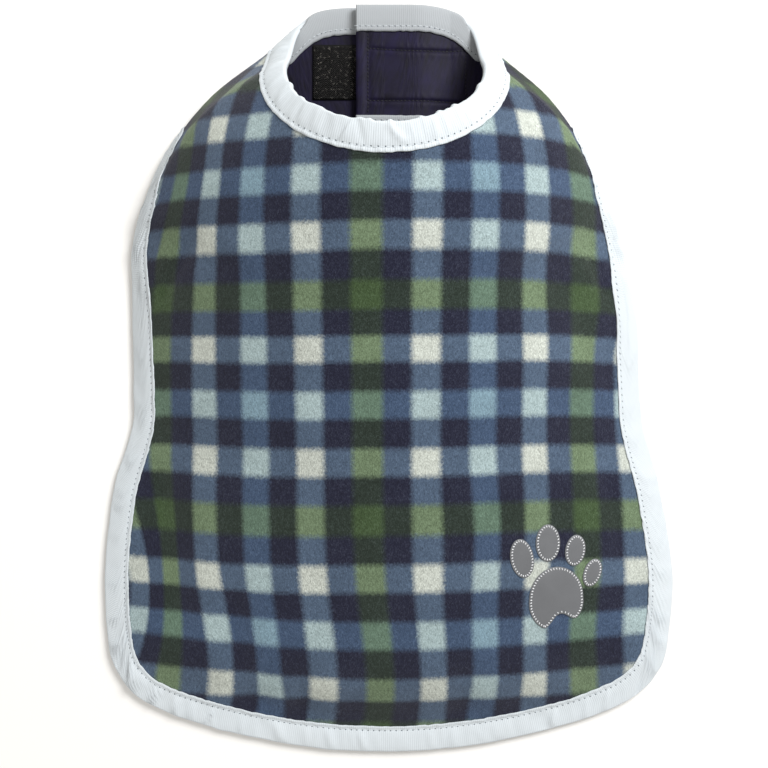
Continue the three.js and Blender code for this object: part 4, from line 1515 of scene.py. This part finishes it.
class Seats:
    """Finds the fleece face over or under places in plan, on a fine grid of one half."""

    def __init__(self, side, face_up):
        columns = even_columns(4)
        grid, _ = cloth_grid(columns, stretches(2, 4))
        keep = columns >= 0 if side > 0 else columns <= 0
        grid = grid[keep]
        normals = grid_normals(grid)
        quads = grid_faces(*grid.shape[:2])
        triangles = np.concatenate([quads[:, [0, 1, 2]], quads[:, [0, 2, 3]]])
        self.points = grid.reshape(-1, 3)
        self.normals = normals.reshape(-1, 3)
        a, b, c = (self.points[triangles[:, k]] for k in range(3))
        area = (b[:, 0] - a[:, 0]) * (c[:, 1] - a[:, 1]) - (c[:, 0] - a[:, 0]) * (b[:, 1] - a[:, 1])
        faces_right = (area > 0) == face_up
        self.triangles = triangles[faces_right]
        self.a, self.b, self.c, self.area = a[faces_right], b[faces_right], c[faces_right], area[faces_right]

    def at(self, x, y):
        a, b, c = self.a, self.b, self.c
        v = ((x - a[:, 0]) * (c[:, 1] - a[:, 1]) - (c[:, 0] - a[:, 0]) * (y - a[:, 1])) / self.area
        w = ((b[:, 0] - a[:, 0]) * (y - a[:, 1]) - (x - a[:, 0]) * (b[:, 1] - a[:, 1])) / self.area
        inside = np.minimum(np.minimum(v, w), 1 - v - w)
        best = int(np.argmax(inside))
        if inside[best] < -SEAT_TOLERANCE:
            raise RuntimeError(f"nothing to seat on at {x:.1f}, {y:.1f}")
        weights = np.array([1 - v[best] - w[best], v[best], w[best]])
        corners = self.triangles[best]
        return weights @ self.points[corners], unit(weights @ self.normals[corners])

    def many(self, places):
        found = [self.at(x, y) for x, y in places]
        return np.array([p for p, _ in found]), np.array([n for _, n in found])


TAPE_COLUMNS, TAPE_ROWS = 29, 21
TAPE_GROUND = 0.7
HOOK_MARGINS = (1.2, 1.0)
HOOK_JITTER = 0.12
HOOK_LEAN = math.pi / 4
HOOKS_A_STRIPE = 3
HOOK_SHAPE = (0.95, 0.55, 0.75)
HOOK_SINK = 0.05
TAB_THREAD = {"pitch": 2.6, "shape": (1.2, 0.36, 0.36), "sunk": 0.55}
TAB_SEAM_Y = (188, 240)
EDGING_SHAPE = (0.95, 0.5, 0.45)
EDGING_INSET = 1.3
EDGING_LEANS = (0.1, 0.5)
EDGING_RISE = 0.62
PAW_SPOKES, PAW_RINGS = 72, 9
PAW_CROWN = 0.75


def tape_slab(name, area, side, near, far, material, node):
    """A woven tape on a chest tab, between two heights over the fleece face."""
    columns, rows = TAPE_COLUMNS, TAPE_ROWS
    xs = np.linspace(area[0], area[1], columns)
    ys = np.linspace(area[2], area[3], rows)
    places = [(x, y) for x in xs for y in ys]
    seats = Seats(side, False)
    points, normals = seats.many(places)
    points = points.reshape(columns, rows, 3)
    normals = normals.reshape(columns, rows, 3)
    uv = np.array(places).reshape(columns, rows, 2)
    outer = points + normals * max(near, far)
    inner = points + normals * min(near, far)
    found, faces, cloth = wall(outer, inner, uv)
    piece = mesh_object(name, found, faces, material, cloth)
    dress(piece, node)
    return points, normals


class COAT_OT_tapes(bpy.types.Operator):
    """Black hook tape with its hooks, the hidden loop tape, and the dark stitches on the tabs."""
    bl_idname = "coat.tapes"
    bl_label = "Hook and loop tapes"

    def execute(self, context):
        material = tape_material()
        top = -CLOTH_DEPTH - GAP
        ground = top - TAPE_GROUND
        tape_slab("hook_ground", HOOK_AREA, -1, top, ground, material, "hook_tape")
        tape_slab("loop_ground", LOOP_AREA, 1, GAP, GAP + LOOP_TAPE, material, "loop_tape")
        seats = Seats(-1, False)
        pitch = sizes().hook_pitch / MM
        draw = np.random.default_rng(7)
        places, turns = [], []
        low_x, high_x, low_y, high_y = HOOK_AREA
        before, behind = HOOK_MARGINS
        xs = np.arange(low_x + before, high_x - behind, pitch)
        ys = np.arange(low_y + before, high_y - behind, pitch)
        for i, x in enumerate(xs):
            lean = HOOK_LEAN if (i // HOOKS_A_STRIPE) % 2 else -HOOK_LEAN
            for y in ys:
                places.append((x + draw.normal(0, HOOK_JITTER), y + draw.normal(0, HOOK_JITTER)))
                turns.append(lean + draw.normal(0, HOOK_JITTER))
        points, normals = seats.many(places)
        points = points + normals * (ground - HOOK_SINK)
        carrier = point_carrier("hook_places", points, -normals, turns)
        hooks = grow("hooks", carrier, spot_group("hooks", hook_material(), True),
                     {"Shape": scaled(HOOK_SHAPE, MM)})
        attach(hooks, BODY)
        self.sew_tabs()
        return {"FINISHED"}

    def sew_tabs(self):
        """Dark thread round the hidden tape and along the upper tab's end."""
        seats = Seats(1, False)
        low_x, high_x, low_y, high_y = STITCHED_BOX
        xs = np.linspace(low_x, high_x, 40)
        ys = np.linspace(low_y, high_y, 20)
        seam = np.linspace(*TAB_SEAM_Y, 50)
        placed = []
        for x, y in ((xs, low_y), (xs, high_y - top_sag(xs)), (high_x, ys), (TAB_SEAM_X, seam)):
            points, normals = seats.many(np.stack(np.broadcast_arrays(x, y), axis=1))
            placed.append(points + normals * (TAB_THREAD["sunk"] - CLOTH_DEPTH))
        thread = thread_material("dark thread", (0.006, 0.006, 0.010), 0.5)
        carrier = path_carrier("tab_stitch_lines", placed)
        piece = grow("tab_stitches", carrier, stitch_group(thread), {
            "Pitch": TAB_THREAD["pitch"] * MM, "Thread": scaled(TAB_THREAD["shape"], MM)})
        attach(piece, BODY)


def toe_outline(toe, angle):
    lean = math.radians(toe["lean"])
    along = toe["halfLong"] * np.sin(angle)
    across = toe["halfWide"] * np.cos(angle)
    return np.stack([across * math.cos(lean) - along * math.sin(lean),
                     across * math.sin(lean) + along * math.cos(lean)], axis=-1)


def pad_outline(angle):
    below = np.maximum(0, -np.sin(angle))
    out = np.cos(angle)
    from_notch = (out - PAD_NOTCH["at"]) / PAD_NOTCH["width"]
    notch = PAD_NOTCH["rise"] * np.maximum(0, 1 - from_notch ** 2) ** 2 * below
    drop = PAD_LEFT_DROP * np.maximum(0, -out) * below ** 3
    wide = PAW_PAD["half_wide"] * (1 + PAW_PAD["shoulders"] * below * np.abs(out))
    return np.stack([wide * out, PAW_PAD["half_long"] * np.sin(angle) + notch - drop], axis=-1)


def paw_patch(name, node, centre, outline, seats, material, edging):
    """A patch of reflective film, crowned, with its outline sewn down."""
    spokes, rings = PAW_SPOKES, PAW_RINGS
    rim = outline(np.arange(spokes) / spokes * 2 * math.pi)
    shares = np.sin(np.arange(1, rings + 1) / rings * math.pi / 2)
    places = [centre]
    for share in shares:
        places += [tuple(np.array(centre) + share * offset) for offset in rim]
    points, normals = seats.many(places)
    out = np.concatenate([[0], np.repeat(shares, spokes)])
    crown = GAP + REFLECTIVE * (1 - PAW_CROWN * out ** 8)
    top = points + normals * crown[:, None]
    bottom = points + normals * (GAP * 0.5)
    count = len(places)
    faces = []
    for k in range(spokes):
        after = (k + 1) % spokes
        faces.append((0, 1 + k, 1 + after))
        faces.append((count, count + 1 + after, count + 1 + k))
        for ring in range(rings - 1):
            a = 1 + ring * spokes
            b = a + spokes
            faces.append((a + k, b + k, b + after, a + after))
            faces.append((count + a + k, count + a + after, count + b + after, count + b + k))
        edge = 1 + (rings - 1) * spokes
        faces.append((edge + k, count + edge + k, count + edge + after, edge + after))
    uv = np.array(places + places)
    piece = mesh_object(name, np.concatenate([top, bottom]), faces, material, uv)
    dress(piece, node)
    extent = (rim.max(axis=0) - rim.min(axis=0)) * MM
    following = np.roll(rim, -1, axis=0)
    area = abs((rim[:, 0] * following[:, 1] - rim[:, 1] * following[:, 0]).sum()) / 2 * MM * MM
    # Threads of the satin edging lie across the outline, leaning to and fro
    steps = np.linspace(0, 2 * math.pi, 721)
    line = outline(steps)
    lengths = np.concatenate([[0], np.cumsum(np.linalg.norm(np.diff(line, axis=0), axis=1))])
    wanted = max(12, int(lengths[-1] / (sizes().edging_pitch / MM)) // 2 * 2)
    for k in range(wanted):
        angle = np.interp(lengths[-1] * k / wanted, lengths, steps)
        here = outline(np.array([angle]))[0]
        ahead = outline(np.array([angle + 0.01]))[0] - here
        facing = math.atan2(ahead[1], ahead[0])
        inset = EDGING_INSET * np.array([-math.sin(facing), math.cos(facing)])
        spot, normal = seats.at(*(np.array(centre) + here + inset))
        edging["points"].append(spot + normal * (GAP + REFLECTIVE * EDGING_RISE))
        edging["ups"].append(normal)
        edging["turns"].append(facing + math.pi / 2 + EDGING_LEANS[k % 2])


class COAT_OT_paw(bpy.types.Operator):
    """Silver-grey reflective paw with its sewn edging."""
    bl_idname = "coat.paw"
    bl_label = "Reflective paw"

    def execute(self, context):
        material = film_material()
        seats = Seats(1, True)
        edging = {"points": [], "ups": [], "turns": []}
        centre = (PAW_PAD["x"], PAW_PAD["y"])
        paw_patch("paw_pad_film", "paw_pad", centre, pad_outline, seats, material, edging)
        for k in range(len(PAW_TOES["x"])):
            toe = {name: float(column[k]) for name, column in PAW_TOES.items()}
            outline = functools.partial(toe_outline, toe)
            paw_patch(f"paw_toe_film_{k + 1}", f"paw_toe_{k + 1}", (toe["x"], toe["y"]), outline,
                      seats, material, edging)
        thread = thread_material("edging thread", tuple(colours().edging), 0.35, 0.3)
        carrier = point_carrier("edging_places", *map(np.array, edging.values()))
        piece = grow("paw_edging", carrier, spot_group("edging", thread, False),
                     {"Shape": scaled(EDGING_SHAPE, MM)})
        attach(piece, BODY)
        return {"FINISHED"}


FLOOR_HALF = 3.0
FLOOR_COLOUR = (0.90, 0.89, 0.87)
ROOM_COLOUR = (1.0, 0.965, 0.91, 1.0)
ROOM_STRENGTH = 0.50
# Soft lamps: the brighter one is up to the right
LAMPS = {
    "key": {"place": (0.95, 1.05, 1.35), "size": 1.0, "power": 42.0, "colour": (0.985, 0.99, 1.0)},
    "fill": {"place": (-0.9, -0.9, 1.5), "size": 1.4, "power": 7.0, "colour": (0.97, 0.98, 1.0)},
}
SENSOR_WIDTH = 36.0


class COAT_OT_stage(bpy.types.Operator):
    """Pale floor, soft light from the upper right, and the camera straight above."""
    bl_idname = "coat.stage"
    bl_label = "Stage"

    def execute(self, context):
        scene = bpy.context.scene
        mesh = bpy.data.meshes.new("floor")
        half = FLOOR_HALF
        corners = [(-half, -half, 0), (half, -half, 0), (half, half, 0), (-half, half, 0)]
        mesh.from_pydata(corners, [], [(0, 1, 2, 3)])
        shader = Shader("white floor", Roughness=0.9, Specular_IOR_Level=0.1)
        shader.colour(FLOOR_COLOUR)
        mesh.materials.append(shader.material)
        linked("floor", mesh)

        world = bpy.data.worlds.new("soft room")
        world.use_nodes = True
        background = world.node_tree.nodes["Background"]
        background.inputs["Color"].default_value = ROOM_COLOUR
        background.inputs["Strength"].default_value = ROOM_STRENGTH
        scene.world = world
        for name, lamp in LAMPS.items():
            self.lamp(name, **lamp)

        shift = frame_shift()
        camera_data = bpy.data.cameras.new("camera")
        camera_data.sensor_width = SENSOR_WIDTH
        camera_data.lens = SENSOR_WIDTH * CAMERA_HEIGHT / (PICTURE / PIXELS_PER_MM)
        camera = linked("camera", camera_data)
        camera.location = ((CAMERA_X + shift[0]) * MM, (CAMERA_Y + shift[1]) * MM, CAMERA_HEIGHT * MM)
        scene.camera = camera
        scene.view_settings.view_transform = "Standard"
        return {"FINISHED"}

    @staticmethod
    def lamp(name, place, size, power, colour):
        light = bpy.data.lights.new(name, "AREA")
        light.shape = "DISK"
        light.size = size
        light.energy = power
        light.color = colour
        lamp = linked(name, light)
        lamp.location = place
        lamp.rotation_mode = "QUATERNION"
        lamp.rotation_quaternion = (-Vector(place)).to_track_quat("-Z", "Y")


class COAT_PT_panel(bpy.types.Panel):
    """Lists the coat's sizes, colours and pieces in the sidebar."""
    bl_idname = "COAT_PT_panel"
    bl_label = "Dog coat"
    bl_space_type = "VIEW_3D"
    bl_region_type = "UI"
    bl_category = "Dog coat"

    def draw(self, context):
        for group in (context.scene.coat_sizes, context.scene.coat_colours):
            for name in group.__annotations__:
                self.layout.prop(group, name)
        for piece in PIECES:
            self.layout.operator(piece.bl_idname)


PIECES = (COAT_OT_fleece, COAT_OT_lining, COAT_OT_bindings, COAT_OT_tapes, COAT_OT_paw, COAT_OT_stage)
CLASSES = (CoatSizes, CoatColours) + PIECES + (COAT_PT_panel,)


def register():
    for cls in CLASSES:
        bpy.utils.register_class(cls)
    bpy.types.Scene.coat_sizes = bpy.props.PointerProperty(type=CoatSizes)
    bpy.types.Scene.coat_colours = bpy.props.PointerProperty(type=CoatColours)


def unregister():
    del bpy.types.Scene.coat_colours
    del bpy.types.Scene.coat_sizes
    for cls in reversed(CLASSES):
        bpy.utils.unregister_class(cls)


def main():
    register()
    bpy.ops.coat.fleece()
    bpy.ops.coat.lining()
    bpy.ops.coat.bindings()
    bpy.ops.coat.tapes()
    bpy.ops.coat.paw()
    bpy.ops.coat.stage()


if __name__ == "__main__":
    main()
